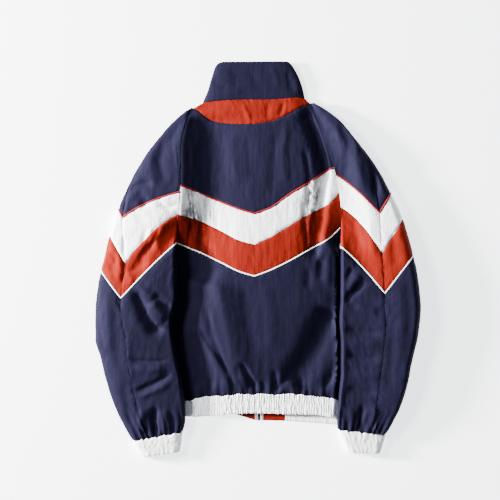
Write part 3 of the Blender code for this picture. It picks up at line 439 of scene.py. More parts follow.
# the first colour of each nylon is its painted sheen on the raised streaks, the second its own
# colour
NAVY = cloth_finish("navy nylon", (0.0112, 0.0099, 0.0285), (0.0068, 0.0063, 0.0156), 0.6,
                    (0.7, 0.7, 1.0), gloss=0.03)
RED = cloth_finish("red nylon", (0.2, 0.0125, 0.007), (0.135, 0.0073, 0.004), 0.6,
                   (1.0, 0.6, 0.4), bump=0.6, gloss=0.04)
WHITE = cloth_finish("white nylon", (0.95, 0.965, 0.98), (0.84, 0.87, 0.9), 0.55, (1, 1, 1),
                     streaks=120.0, length=0.16, bump=1.0)
stitch_lines = []   # finish, points, facing: rows of topstitching, made when all the cloth is

u = np.unique(np.concatenate([spaced(BACK_WIDE, 3.0), [0.5]]))
lines = [across(seam, u) for seam in
         (COLLAR_SEAM, YOKE_TOP, RED_PIPING, BAND_SEAM, WHITE_PIPING, WAIST_TOP)]
lines[0][:, 1] = neck_line(lines[0][:, 0])
lines[-1][:, 1] += waist_scallops(lines[-1][:, 0])
for line in lines[1:-1]:
    line[0, 0] = level(line[0, 1])[0]
    line[-1, 0] = level(line[-1, 1])[1]
back_panels = (
    # node, length down the middle, finish, cut: width, length and area in metres
    ("neck_crescent", 50, RED, (0.25, 0.055, 0.0100)),
    ("back_yoke", 183, NAVY, (0.33, 0.235, 0.0500)),
    ("back_band_white", 64, WHITE, (0.34, 0.165, 0.0215)),
    ("back_band_red", 64, RED, (0.35, 0.175, 0.0240)),
    ("back_lower", 245, NAVY, (0.58, 0.37, 0.1600)),
)
edge = ease(np.minimum(u, 1 - u) * BACK_WIDE / 18)[None, :]
side_seam = from_seam(u, BACK_WIDE)[None, :]
for (node, length, finish, cut), top, bottom in zip(back_panels, lines, lines[1:]):
    v = spaced(length)
    seam_distance = from_seam(v, length)[:, None]
    if node == "neck_crescent":
        left = top[0] + (bottom[0] - top[0]) * v[:, None]
        right = top[-1] + (bottom[-1] - top[-1]) * v[:, None]
    elif node == "back_lower":
        left, right = along(LEFT_SIDE, v), along(RIGHT_SIDE, v)
    else:
        y_left = top[0, 1] + (bottom[0, 1] - top[0, 1]) * v
        y_right = top[-1, 1] + (bottom[-1, 1] - top[-1, 1]) * v
        left = np.stack([level(y_left)[:, 0], y_left], -1)
        right = np.stack([level(y_right)[:, 1], y_right], -1)
    plan = filled(top, bottom, left, right, u, v)
    x, y = plan[..., 0], plan[..., 1]
    grid = np.dstack([plan, back_height(x, y)])
    crumples = crumple(grid, 17.0, 3.0) * (0.35 + 0.65 * edge) * 0.35
    in_folds = np.exp(-((x + 128) / 38) ** 2) + np.exp(-((x - 112) / 26) ** 2)
    calm, folded = STREAKED[node]
    streaks = crumple(grid * (2.0, 0.4, 1), 17.0, 23.0)
    crumples += streaks * edge * (calm + (folded - calm) * in_folds)
    pucker = crumple(grid * (1, 3, 1), 6.0, 11.0) * np.exp(-seam_distance / 9) * 0.7
    dip = seam_dip(seam_distance) + 0.5 * seam_dip(side_seam) * (y > 20)
    if node == "back_lower":
        near_band = np.exp(-np.maximum(y + 276, 0) / 26)
        gathers = np.sin(x * 0.29 + 1.7 * np.sin(x * 0.061)) + 0.7 * np.sin(x * 0.53 + 1.1)
        dip = dip + near_band * gathers * 1.25 * edge
    grid[..., 2] += (crumples + pucker) * edge.clip(0.25, 1) + dip
    grid[..., 2] = np.maximum(grid[..., 2], 2.6)
    facing = normals(grid)
    facing[:, 0] = facing[:, -1] = (0, 0, 1)
    columns = slice(4, -4) if node == "neck_crescent" else slice(None)
    outer = drawn_in(grid[:, columns], (SEAM, SEAM, 0.3, 0.3))
    if node == "neck_crescent":
        stitch_lines += [(finish, grid[row, 6:-6], facing[row, 6:-6]) for row in (3, -4)]
    inner = drawn_in((grid - facing * CLOTH)[:, columns], (-TURNED, SEAM, -TURNED, -TURNED))
    piece = shell(node + "_cloth", outer, inner, finish)
    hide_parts(node)
    # painted shade: the folds of the white and red bands are darkened in colour through the
    # "folded" attribute
    if "band" in node:      # painted: light alone leaves the folds of these bands too pale
        painted_fold_shade = piece.data.attributes.new("folded", "FLOAT", "POINT")
        fold_shade_depth = in_folds ** 2 * (0.8 - 0.7 * streaks) * (1.9 if finish is WHITE else 1.15)
        painted_fold_shade.data.foreach_set("value", np.tile(fold_shade_depth.clip(0, 1.6).ravel(), 2))

# ---- piping on the back ----------------------------------------------------------------
# Thin bias piping, red over the upper chevron seam and white over the lower one. It is
# folded over a cord and caught in the seam, so it stands a little proud of both panels.
PIPING_WIDE, PIPING_HIGH = {"red_piping": 2.0, "white_piping": 1.35}, 1.7   # half width, height
PIPING_SIDES = 8
PIPING_SUNK, PIPING_SHORT = 1.1, 1.2    # into the cloth, and short of each end of its seam


def piping_finish(name, colour, shade):
    """Bias-cut satin strip: fine slanting threads across the cord."""
    finish, tree = new_finish(name)
    place = add_node(tree, "TexCoord", {})["Object"]
    threads = add_node(tree, "TexWave", {"Vector": place, "Scale": 420.0, "Distortion": 2.0},
                       bands_direction="DIAGONAL")["Fac"]
    mix = add_node(tree, "Mix", {
        "A": (*shade, 1), "B": (*colour, 1), "Factor": threads}, data_type="RGBA")
    raised = add_node(tree, "Bump", {"Strength": 0.35, "Distance": 0.0003, "Height": threads})
    feed(tree, tree.nodes["Principled BSDF"], {
        "Base Color": mix["Result"], "Normal": raised["Normal"],
        "Roughness": 0.6, "Specular IOR Level": 0.08})
    return finish


RED_CORD = piping_finish("red piping", (0.2, 0.012, 0.014), (0.13, 0.008, 0.01))
WHITE_CORD = piping_finish("white piping", (0.92, 0.93, 0.94), (0.8, 0.82, 0.85))


def piping(node, line, facing, finish, slot):
    """Piping along a seam: line is its middle on the cloth, facing is away from the cloth."""
    line = line - facing * PIPING_SUNK
    way = unit(np.gradient(line, axis=0))
    aside = np.cross(way, facing)
    line[0] += way[0] * PIPING_SHORT
    line[-1] -= way[-1] * PIPING_SHORT
    rings = []
    for step in range(PIPING_SIDES):
        angle = math.pi * (step / PIPING_SIDES * 2)
        rings.append(line + aside * PIPING_WIDE[slot] * math.cos(angle)
                     + facing * (PIPING_HIGH / 2 + 0.1 + PIPING_HIGH / 2 * math.sin(angle)))
    points = np.stack(rings, axis=1).reshape(-1, 3)
    piece = lay(node + "_cord", points, tube_faces(0, len(line), PIPING_SIDES), finish)
    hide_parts(node)


for node, line, finish, slot in (("back_piping_red", lines[2], RED_CORD, "red_piping"),
                                 ("back_piping_white", lines[4], WHITE_CORD, "white_piping")):
    middle = np.column_stack([line, back_height(line[:, 0], line[:, 1])])
    piping(node, middle, np.tile((0.0, 0.0, 1.0), (len(line), 1)), finish, slot)

# ---- fronts ----------------------------------------------------------------------------
# The two fronts lie face-down on the surface, under the back, in plain navy nylon. They are
# cut from shoulder to waist with a straight zip edge, and lie flat but for a few creases.
ZIP_X, TAPE_HALF_WIDTH, CHAIN_HALF_WIDTH = 3.0, 8.0, 3.2
TAPE_EDGES = (ZIP_X - TAPE_HALF_WIDTH, ZIP_X + TAPE_HALF_WIDTH)
SLIDER_LIFT = 3.9
FRONT_WAIST_Y = -291
FRONT_NECK_DROP = 55
LEFT_STATIONS = np.array([
    # inner_y, outer_x, outer_y, seam, drop, bend, height
    (308, -143, 307, 1.04, 0, 1.0, 12),
    (278, -175, 280, 1.04, 0, 1.0, 16),
    (245, -208, 241, 1.04, 0, 1.0, 20),
    (211, -233, 207, 1.03, 0, 1.0, 24),
    (178, -259, 161, 1.00, 6, 1.5, 28),
    (138, -284, 104, 0.93, 20, 2.6, 31),
    (92, -302, 49, 0.77, 65, 1.7, 34),
    (34, -319, -23, 0.73, 70, 1.15, 37),
    (-11, -327, -62, 0.70, 61, 1.1, 39),
    (-62, -331, -113, 0.64, 49, 1.1, 39),
    (-119, -331, -160, 0.59, 37, 1.1, 37),
    (-175, -321, -197, 0.62, 25, 1.1, 35),
    (-230, -309, -247, 0.64, 16, 1.0, 33),
    (-288, -292, -298, 0.66, 8, 1.0, 30),
    (-351, -256, -371, 0.68, 0, 1.0, 21),
])
RIGHT_STATIONS = np.array([
    (318.5, 118, 319.5, 1.04, 0, 1.0, 12),
    (291, 145, 303, 1.04, 0, 1.0, 16),
    (264, 171, 282, 1.04, 0, 1.0, 20),
    (233, 196, 251, 1.03, 0, 1.0, 24),
    (200, 233, 204, 0.94, 8, 2.0, 28),
    (174, 272, 137, 0.78, 49, 1.3, 31),
    (106, 296, 84, 0.65, 78, 1.5, 34),
    (26, 317, 10, 0.60, 84, 1.2, 37),
    (-25, 327, -37, 0.565, 70, 1.1, 39),
    (-83, 333, -99, 0.56, 53, 1.1, 39),
    (-134, 328, -150, 0.553, 37, 1.1, 37),
    (-191, 317, -199, 0.562, 25, 1.1, 35),
    (-240, 306, -253, 0.568, 16, 1.0, 33),
    (-298, 292, -298, 0.61, 8, 1.0, 30),
    (-347, 263, -357, 0.70, 0, 1.0, 21),
])
FRONT_CREASES = (
    # left, right, height, points
    (7, 10, 1.6, ((-120, 200), (-60, 60))),
    (9, 7, 1.4, ((-40, 120), (-60, -60))),
    (10, 7, 1.8, ((-90, 20), (-110, -140))),
    (8, 8, 1.5, ((-150, -60), (-90, -180))),
    (7, 9, 1.7, ((-40, -120), (-70, -270))),
    (8, 6, 1.6, ((-130, -200), (-120, -285))),
    (8, 10, 1.4, ((-180, -120), (-150, -280))),
    (9, 7, 1.5, ((110, 210), (60, 80))),
    (7, 10, 1.7, ((50, 60), (80, -90))),
    (9, 8, 1.4, ((130, 20), (100, -120))),
    (7, 8, 1.6, ((160, -70), (120, -190))),
    (9, 7, 1.5, ((50, -110), (70, -275))),
    (6, 8, 1.7, ((120, -200), (130, -285))),
    (9, 8, 1.5, ((190, -110), (160, -280))),
)


def ring_share(c):
    """Share of a flattened ring's width at c: 0 to 1 over the top, 1 to 2 back underneath."""
    return (1 - np.cos(math.pi * c)) / 2


def rounded(share, edge):
    """1 over most of a width and round to 0 at its end, over 'edge' of the width."""
    q = np.clip((edge - share) / edge, 0, 1)
    return np.sqrt(1 - q * q)


def surface_lift(x, y):
    """How far the underside stands off the surface: only round the zip's slider."""
    near = 1 - ease((np.abs(x - ZIP_X) - 9) / 40)
    return SLIDER_LIFT * near * ease((y - 262) / 30)


COLLAR = np.array([
    # left_x, left_y, right_x, right_y, height
    (-113, 319.5, 97, 329.2, 12.0),
    (-101, 348, 94, 344, 13.0),
    (-95, 368, 86, 367, 13.5),
    (-88, 389.5, 72, 390.5, 13.0),
])
COLLAR_TOP = 405


def collar_place(v, c):
    """Outer surface of the collar: v from the neck seam to the top edge, c round the ring."""
    left_x, left_y, right_x, right_y, height = np.moveaxis(
        through(np.linspace(0, 1, len(COLLAR)), COLLAR, v), -1, 0)
    f = ring_share(c)
    under = (c < 0) | (c > 1)
    x = left_x + (right_x - left_x) * f
    ends = rounded(f, 0.12) * rounded(1 - f, 0.08)
    rise = COLLAR_TOP - (COLLAR[-1, 1] + COLLAR[-1, 3]) / 2
    y = left_y + (right_y - left_y) * f + rise * np.sin(v * math.pi / 2) * ends
    y += (neck_line(x) - left_y - (right_y - left_y) * f) * np.clip(1 - 3 * v, 0, 1) * ~under
    y -= FRONT_NECK_DROP * np.clip(4 * f * (1 - f), 0, 1) ** 0.8 * under
    fold = 0.42 * height
    over = rounded(f, 0.22) * rounded(1 - f, 0.22)
    base = surface_lift(x, y)
    flat = rounded(f, 0.1) * rounded(1 - f, 0.1)
    z = np.where(under, fold - (fold - base) * flat, fold + (height - fold) * over)
    return np.stack([x, y, z], -1)


def front_neck(side, count):
    """The neck seam of one front, from the shoulder to the zip."""
    left_x, right_x = COLLAR[0, 0], COLLAR[0, 2]
    at_zip = math.acos(1 - 2 * (TAPE_EDGES[side] - left_x) / (right_x - left_x)) / math.pi
    share = np.linspace(0, 1, count)
    c = 1 + (1 - at_zip) * share if side else -at_zip * share
    return collar_place(np.zeros(count), c - (0 if side else 1e-9))


for side, node, cut in ((0, "front_left", (0.27, 0.62, 0.118)),
                        (1, "front_right", (0.27, 0.63, 0.116))):
    stations, side_line = ((LEFT_STATIONS, LEFT_SIDE), (RIGHT_STATIONS, RIGHT_SIDE))[side]
    seam_y = through(range(len(stations)), stations[:, :1], np.linspace(0, 7, 70))[:, 0]
    seam = np.stack([level(seam_y)[:, side], seam_y], -1)
    below = along([p for p in side_line if p[1] <= seam[-1, 1]], np.linspace(0, 1, 90)[1:])
    outer = np.concatenate([seam, below])
    neck = front_neck(side, 46)[:, :2]
    neck[0] = seam[0]
    down = distances(outer)
    v = down / down[-1]
    zip_edge = np.stack([np.full(len(v), TAPE_EDGES[side]),
                         (1 - v) * neck[-1, 1] + v * FRONT_WAIST_Y], -1)
    share = np.linspace(0, 1, len(neck))
    hem = outer[-1] * (1 - share[:, None]) + zip_edge[-1] * share[:, None]
    flat = filled(neck, hem, outer, zip_edge, share, v)
    x, y = flat[..., 0], flat[..., 1]
    away = np.minimum(np.minimum(v, 1 - v)[:, None] * down[-1], np.minimum(share, 1 - share) * 150)
    lift = (creases(x, y, FRONT_CREASES).clip(0)
            + 0.35 * crumple(np.dstack([flat, x * 0]), 19.0, 31.0).clip(0))
    z = surface_lift(x, y) + lift * ease(away / 14)
    gaps = (SEAM, SEAM, 0.35, SEAM)
    piece = shell(node + "_cloth", drawn_in(np.dstack([flat, z]), gaps),
                  drawn_in(np.dstack([flat, z + CLOTH]), gaps), NAVY)
    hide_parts(node)

# ---- sleeves ---------------------------------------------------------------------------
# Raglan sleeves in two long panels, each cut across in navy, white, red and navy, so that
# the chevrons point down at the overarm seam. They lie on the sides of the body.
LEFT_ARMHOLE, RIGHT_ARMHOLE, SIDE_SEAM_X = (-164, 34, -1.15), (169, 26, -1.15), 268
SLEEVE_LIFT, CUFF_LIFT = 5.8, 8.5   # underside over the body's side and the waistband's end
RED_STATION, WHITE_STATION, CUFF_STATION = 5, 7, 14
OPEN_STATION, TUBE_STATION = 6.0, 7.3   # open to the body above the first, a tube below the second
SLEEVE_RISE = (0.45, 0.6)       # share of its width over which each sleeve rises from its seam
SLEEVE_TILT = (0.22, -0.3)      # how much lower each sleeve lies towards its outer edge
SLEEVE_OUTER = (0.22, 0.09)     # share of its width over which its outer edge is round
SLEEVE_EDGE = (0.05, 0.035)     # share of its width over which its inner edge is round
SLEEVE_CREASES = (
    # left, right, height, points
    (74, 34, -3.5, ((262, -50), (259, -150), (250, -240), (240, -356))),
    (5, 4, -2.8, ((-244, 0), (-226, 21), (-206, 41))),
    (5, 4, -2.6, ((-262, -22), (-240, -12), (-220, -2))),
    (5, 6, 2.4, ((-190, 76), (-196, 58), (-204, 42))),
    (4, 4, -2.2, ((-224, 62), (-235, 34))),
    (5, 4, 2.2, ((-254, -50), (-258, -34), (-266, -24))),
    (3, 4, -2.6, ((-206, 124), (-188, 106), (-162, 109))),
    (4, 4, -2.2, ((-251, 104), (-230, 72))),
    (3, 3, -2.2, ((-272, 48), (-273, 4))),
    (5, 4, -2.4, ((-300, 20), (-290, 0), (-294, -20))),
    (15, 5, -10.0, ((-248, -56), (-233, -88), (-222, -114), (-208, -134), (-186, -146))),
    (12, 12, 4.6, ((-216, -82), (-200, -106), (-184, -122))),
    (7, 6, -3.6, ((-214, -70), (-190, -90), (-172, -98))),
    (6, 6, 3.0, ((-246, -54), (-224, -66), (-204, -76))),
    (4, 4, -3.0, ((-262, -200), (-236, -205), (-206, -206), (-180, -203))),
    (7, 7, 2.6, ((-254, -216), (-220, -224), (-184, -220))),
    (6, 7, -4.0, ((-250, -268), (-216, -256), (-190, -240), (-172, -230))),
    (7, 6, 2.4, ((-244, -280), (-206, -264), (-176, -248))),
    (10, 3.5, -7.5, ((-206, -296), (-207, -326), (-202, -360))),
    (6, 7, 2.8, ((-236, -300), (-240, -356))),
    (6, 6, 2.6, ((-190, -300), (-188, -356))),
    (5, 5, -2.6, ((-226, -314), (-226, -356))),
    (8, 8, 1.2, ((-300, -70), (-304, -130), (-298, -196))),
    (7, 6, -1.1, ((-288, -96), (-286, -160), (-280, -226))),
    (8, 7, 1.2, ((-264, -150), (-262, -200), (-254, -256))),
    (7, 8, -2.2, ((-272, -250), (-264, -300), (-256, -345))),
    (8, 7, -3.8, ((-268, 140), (-242, 152), (-212, 158))),
    (6, 6, 3.0, ((-260, 136), (-270, 112), (-272, 84))),
    (8, 8, -3.0, ((-244, 142), (-232, 124), (-222, 100))),
    (4, 5, -2.0, ((-210, 112), (-184, 106), (-160, 108))),
    (8, 7, -3.6, ((-208, 44), (-220, 20), (-238, -4), (-258, -18))),
    (8, 8, 2.4, ((-226, 58), (-206, 34), (-190, 14))),
    (6, 7, -3.0, ((-310, 12), (-302, -8), (-290, -28))),
    (6, 6, 2.0, ((-278, 6), (-282, -44))),
    (7, 7, -5.0, ((174, -90), (184, -74), (200, -62), (218, -42))),
    (6, 6, -3.4, ((174, -42), (184, -30), (194, -14))),
    (8, 8, 3.2, ((180, -66), (194, -46), (208, -26))),
    (9, 8, 2.4, ((196, -92), (220, -100), (246, -104))),
    (8, 9, -3.4, ((176, -138), (206, -146), (254, -150))),
    (9, 9, 2.2, ((180, -166), (214, -170), (250, -172))),
    (8, 9, -3.4, ((176, -190), (210, -200), (250, -201))),
    (8, 9, 2.0, ((186, -230), (220, -236), (254, -236))),
    (7, 8, -2.8, ((182, -258), (212, -268), (244, -270))),
    (8, 9, 1.1, ((280, -56), (288, -120), (288, -196))),
    (7, 7, -1.1, ((300, -36), (308, -100), (304, -166))),
    (8, 8, -1.2, ((272, -116), (272, -190), (264, -264))),
    (6, 6, -3.8, ((216, -290), (210, -320), (210, -356))),
    (6, 6, 2.6, ((238, -290), (236, -356))),
    (6, 6, 2.4, ((190, -296), (188, -356))),
    (9, 7, -5.5, ((216, 262), (230, 230), (240, 180), (241, 124))),
    (12, 9, 2.6, ((192, 246), (206, 200), (210, 136))),
    (8, 9, -2.6, ((168, 282), (184, 240), (182, 168))),
    (8, 8, -2.4, ((196, 92), (206, 20))),
    (8, 7, 2.2, ((222, 84), (236, 4))),
    (8, 8, -2.6, ((270, 60), (282, -14))),
    (8, 8, -2.2, ((-190, 250), (-200, 200), (-186, 150))),
    (8, 9, 2.0, ((-214, 226), (-222, 180), (-206, 140))),
)


def cuff_scallops(f):
    """How far the gathers pull a cuff's seam up and down, across its width."""
    return 1.3 * np.sin(f * 38 + 2 * np.sin(f * 9)) + 0.8 * np.sin(f * 71 + 1)


def under_sleeve(x, y, armhole):
    """Underside of a sleeve: on the surface, or on the body's side and the waistband's end."""
    at_x, at_y, slope = armhole
    out = np.abs(x) - abs(at_x)
    over_side = (ease((at_y + slope * out + 42 - y) / 30)
                 * ease((SIDE_SEAM_X + 25 - np.abs(x)) / 25))
    over_band = ease((-250 - y) / 22) * ease((222 - np.abs(x)) / 18)
    lift = SLEEVE_LIFT * over_side + (CUFF_LIFT - SLEEVE_LIFT) * over_band
    return lift * ease((y + 352) / 24)


def sleeve_place(side, s, c):
    """Outer surface of a sleeve at stations s, a ring place c from its inner edge round."""
    stations, armhole = ((LEFT_STATIONS, LEFT_ARMHOLE), (RIGHT_STATIONS, RIGHT_ARMHOLE))[side]
    inner_y, outer_x, outer_y, seam, drop, bend, height = np.moveaxis(
        through(range(len(stations)), stations, s), -1, 0)
    at_seam = level(inner_y)
    inner_x, edge = at_seam[..., side], at_seam[..., 2 + side]
    f, over = ring_share(c), c <= 1
    seam = np.minimum(seam, 0.96)
    chevron = np.where(f < seam, (f / seam) ** bend, (1 - f) / (1 - seam))
    x = inner_x + (outer_x - inner_x) * f
    y = inner_y + (outer_y - inner_y) * f - drop * chevron * over
    y += cuff_scallops(f) * ease((s - 13.7) / 0.3)
    open_to_body = 1 - ease((s - OPEN_STATION) / (TUBE_STATION - OPEN_STATION))
    base = under_sleeve(x, y, armhole)
    fold_out = 0.42 * height
    fold_in = 10.4 + (fold_out - 10.4) * ease((s - WHITE_STATION) / 2)
    fold = fold_in + (fold_out - fold_in) * f
    crown = height * (0.93 + 0.07 * 4 * f * (1 - f)) * (1 - SLEEVE_TILT[side] * (f - 0.25))
    start = open_to_body * edge + (1 - open_to_body) * 0.93 * height
    top = start + (crown - start) * ease(f / SLEEVE_RISE[side])
    full, flat = (
        rounded(1 - f, outer) * (open_to_body + (1 - open_to_body) * rounded(f, inner))
        for outer, inner in ((SLEEVE_OUTER[side], SLEEVE_EDGE[side]), (0.12, 0.12)))
    away = ease(f / 0.12) * ease((1 - f) / 0.12)
    gathers = np.sin(f * 9 * 2 * math.pi + 1.3 * np.sin(f * 17)) * 1.6
    relief = creases(x, y, SLEEVE_CREASES) + gathers * ease((s - 12.8) / 1.2)
    z = np.where(over, fold + (top - fold) * full + relief * away, fold - (fold - base) * flat)
    return np.stack([x, y, z], -1)


sleeve_parts = (
    # part, finish, stations, length
    ("upper", NAVY, RED_STATION, 200), ("white", WHITE, 1, 50), ("red", RED, 1, 62),
    ("lower", NAVY, CUFF_STATION - WHITE_STATION, 385),
)
sleeve_cuts = {
    # panel: width, length and area in metres, for the left sleeve and the right
    "back_upper": ((0.15, 0.22, 0.0165), (0.15, 0.23, 0.0145)),
    "back_white": ((0.12, 0.15, 0.0085), (0.10, 0.16, 0.0064)),
    "back_red": ((0.12, 0.17, 0.0083), (0.10, 0.18, 0.0080)),
    "back_lower": ((0.14, 0.40, 0.0400), (0.12, 0.39, 0.0340)),
    "front_upper": ((0.15, 0.22, 0.0145), (0.17, 0.23, 0.0145)),
    "front_white": ((0.16, 0.15, 0.0096), (0.16, 0.16, 0.0113)),
    "front_red": ((0.19, 0.17, 0.0145), (0.18, 0.18, 0.0175)),
    "front_lower": ((0.27, 0.41, 0.0820), (0.28, 0.39, 0.0850)),
}
for side, hand in ((0, "left_"), (1, "right_")):
    stations, armhole = ((LEFT_STATIONS, LEFT_ARMHOLE), (RIGHT_STATIONS, RIGHT_ARMHOLE))[side]
    turn, s_from = (-1, 1)[side], 0
    for part, finish, stations_long, length in sleeve_parts:
        shares = spaced(length)
        s = s_from + shares * stations_long
        s_from += stations_long
        row_distance = from_seam(shares, length)[:, None]
        seam = through(range(len(stations)), stations, s)[:, 3]
        turned = np.arccos(1 - 2 * np.minimum(seam, 2 - seam)) / math.pi
        seam_c = np.where(seam <= 1, turned, 2 - turned)[:, None]
        closed = ease((s - OPEN_STATION) / (TUBE_STATION - OPEN_STATION))[:, None]
        crumpled = 1.1 if finish is not NAVY and not side else 0.55     # the left bands are crisper
        at_body = SEAM if part == "lower" else 0.3
        for panel, width, step in (("back", 110, 3.0), ("front", 190, 3.2)):
            columns, on_back = spaced(width, step), panel == "back"
            c = seam_c * columns if on_back else seam_c + (2 - seam_c) * columns
            grid = sleeve_place(side, np.repeat(s[:, None], c.shape[1], axis=1), c)
            inner_edge, overarm = columns * width, (1 - columns) * width
            if not on_back:
                inner_edge, overarm = overarm, inner_edge
            dip = seam_dip(row_distance) + 0.6 * seam_dip(overarm)
            dip = dip + 0.5 * seam_dip(inner_edge) * (1 - closed)
            pucker = crumple(grid * (2.2, 2.2, 1), 6.0, 13.0) * (
                np.exp(-row_distance / 8) + 0.8 * np.exp(-overarm / 8)) * 0.6
            relief = crumple(grid, 17.0, 7.0) * crumpled + pucker
            relief = relief * (0.3 + 0.7 * ease(inner_edge / 10)) + dip
            rests = ease((c - 1.15) / 0.2)
            pressed = relief * (1 - rests) - rests * np.abs(relief) * 0.7
            relief = np.where(rests > 0, pressed, relief)
            bottom = grid[..., 2]
            grid = grid + normals(grid) * turn * relief[..., None]
            lowest = np.minimum(bottom, under_sleeve(grid[..., 0], grid[..., 1], armhole))
            grid[..., 2] = np.maximum(grid[..., 2], lowest)
            facing = normals(grid) * turn
            if on_back and part != "lower":
                stitch_lines.append((finish, grid[2:-2, 3], facing[2:-2, 3]))
            node = f"{hand}sleeve_{panel}_{part}"
            sides = (at_body, SEAM) if on_back else (SEAM, at_body)
            inner_sides = sides if on_back else (-TURNED, at_body)
            inner = drawn_in(grid - facing * CLOTH, (-TURNED, SEAM, *inner_sides))
            inner[..., 2] = inner[..., 2].clip(0.0)
            piece = shell(node + "_cloth", drawn_in(grid, (SEAM, SEAM, *sides)), inner, finish)
            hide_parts(node)
            cut = sleeve_cuts[f"{panel}_{part}"][side]
    for s_at, colour, finish in ((RED_STATION, "red", RED_CORD),
                                 (WHITE_STATION, "white", WHITE_CORD)):
        seam = min(through(range(len(stations)), stations, s_at)[3], 0.999)
        at_seam = math.acos(1 - 2 * seam) / math.pi
        c = np.concatenate([at_seam * np.linspace(0, 1, 40),
                            at_seam + (1.03 - at_seam) * np.linspace(0, 1, 20)[1:]])
        s_row = np.full((3, len(c)), float(s_at)) + np.array([-0.05, 0, 0.05])[:, None]
        grid = sleeve_place(side, s_row, np.tile(c, (3, 1)))
        piping(f"{hand}sleeve_piping_{colour}", grid[1], normals(grid)[1] * turn, finish,
               colour + "_piping")

# ---- waistband and hem tabs ------------------------------------------------------------
# A white band of nylon shirred over three rows of elastic at the back, and plainer bands in
# front, which end in red tabs beside the zip. The front bands show below the back one.
WAIST_BOTTOM = (
    ((-194, -320), (-147, -321), (-87, -319), (-50, -315), (MIDDLE, -313)),
    ((MIDDLE, -313), (56, -315), (118, -317), (161, -322), (198, -322)),
)
BAND = 2.2                  # thickness of doubled cloth
FRONT_HEM = ((-194, -314), (-60, -311), (-46, -316), (-5, -329), (9, -329), (57, -330),
             (161, -338), (198, -339))
HEM_TAB_LEFT, HEM_TAB_RIGHT = -46, 57
ELASTIC_ROWS = (0.2, 0.5, 0.8)
ELASTIC = cloth_finish("white shirred elastic", (0.975, 0.98, 0.985), (0.93, 0.945, 0.96), 0.6,
                       (1, 1, 1), streaks=320.0, length=0.35, bump=0.14)


def shirring(turns, share, seed):
    """Height, 0 to 1, of the uneven ridges that elastic draws cloth into."""
    ridge = np.zeros_like(turns)
    for index in np.ndindex(turns.shape):
        across_band, down_band = turns[index], share[index]
        wander = noise.noise(Vector((across_band * 0.6, down_band * 3.0, seed)))
        tall = 0.55 + 0.9 * noise.noise(Vector((across_band * 0.8, down_band * 2.6, seed + 4)))
        pleat = 0.5 + 0.5 * noise.noise(Vector((across_band * 0.33, down_band * 1.5, seed + 8)))
        ridge[index] = (abs(math.sin(math.pi * (across_band + 0.7 * wander))) * max(tall, 0.1)
                        + 0.5 * pleat)
    for row in ELASTIC_ROWS:
        ridge *= 1 - 0.3 * np.exp(-((share - row) / 0.05) ** 2)
    return ridge


t = np.linspace(0, 1, 25)
u = np.linspace(0, 1, 561)
top, bottom = across(WAIST_TOP, u), across(WAIST_BOTTOM, u)
top[:, 1] += waist_scallops(top[:, 0])
plan = top * (1 - t[:, None, None]) + bottom * t[:, None, None]
turns, share = np.meshgrid(u * 80, t)
ridges = shirring(turns, share, 2.0)
uneven = (ridges - 0.5) * 1.3
plan[..., 1] += uneven * ((1 - t) ** 6)[:, None] - uneven * (t ** 6)[:, None]
grid = np.dstack([plan, back_height(plan[..., 0], plan[..., 1])])
rolled = np.exp(-np.minimum(t, 1 - t) * 45 / 2.0)[:, None] * 1.6
base = grid.copy()
grid[..., 2] += ridges * 1.5 - rolled
up = np.tile((0.0, 0.0, 1.0), (len(u) - 8, 1))
stitch_lines += [(ELASTIC, grid[row, 4:-4], up) for row in (5, 12, 19)]
base[..., 2] -= BAND - 0.5
at_seam = (SEAM, 0, 0, 0)
piece = shell("waistband_back_cloth", drawn_in(grid, at_seam), drawn_in(base, at_seam), ELASTIC)
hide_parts("waistband_back")

for node, x_from, x_to, finish, slot, cut in (
        ("waistband_front_left", -194, HEM_TAB_LEFT, ELASTIC, "white_elastic", (0.16, 0.026)),
        ("hem_tab_left", HEM_TAB_LEFT, TAPE_EDGES[0], RED, "red_nylon", (0.045, 0.036)),
        ("hem_tab_right", TAPE_EDGES[1], HEM_TAB_RIGHT, RED, "red_nylon", (0.05, 0.042)),
        ("waistband_front_right", HEM_TAB_RIGHT, 198, ELASTIC, "white_elastic", (0.16, 0.05))):
    count = max(12, round((x_to - x_from) * 1.2))
    x = np.linspace(x_from + 0.15, x_to - 0.15, count)
    hem = np.array(FRONT_HEM, float)
    low = np.interp(x, hem[:, 0], hem[:, 1])
    t = np.linspace(0, 1, 17)[:, None]
    y = (FRONT_WAIST_Y - 0.5) * (1 - t) + low * t
    x = np.tile(x, (17, 1))
    rolled = rounded(np.minimum(t, 1 - t), 0.06)
    relief = np.zeros_like(y)
    if finish is ELASTIC:
        share = np.repeat(t, x.shape[1], axis=1)
        relief = shirring((x - x_from) / 6.2, share, x_from * 0.1) * 0.8
    under = np.dstack([x, y, surface_lift(x, y) + 0.5 * (1 - rolled)])
    over = np.dstack([x, y, surface_lift(x, y) + 0.6 + 1.5 * rolled + relief * rolled])
    piece = shell(node + "_cloth", over, under, finish)
    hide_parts(node)

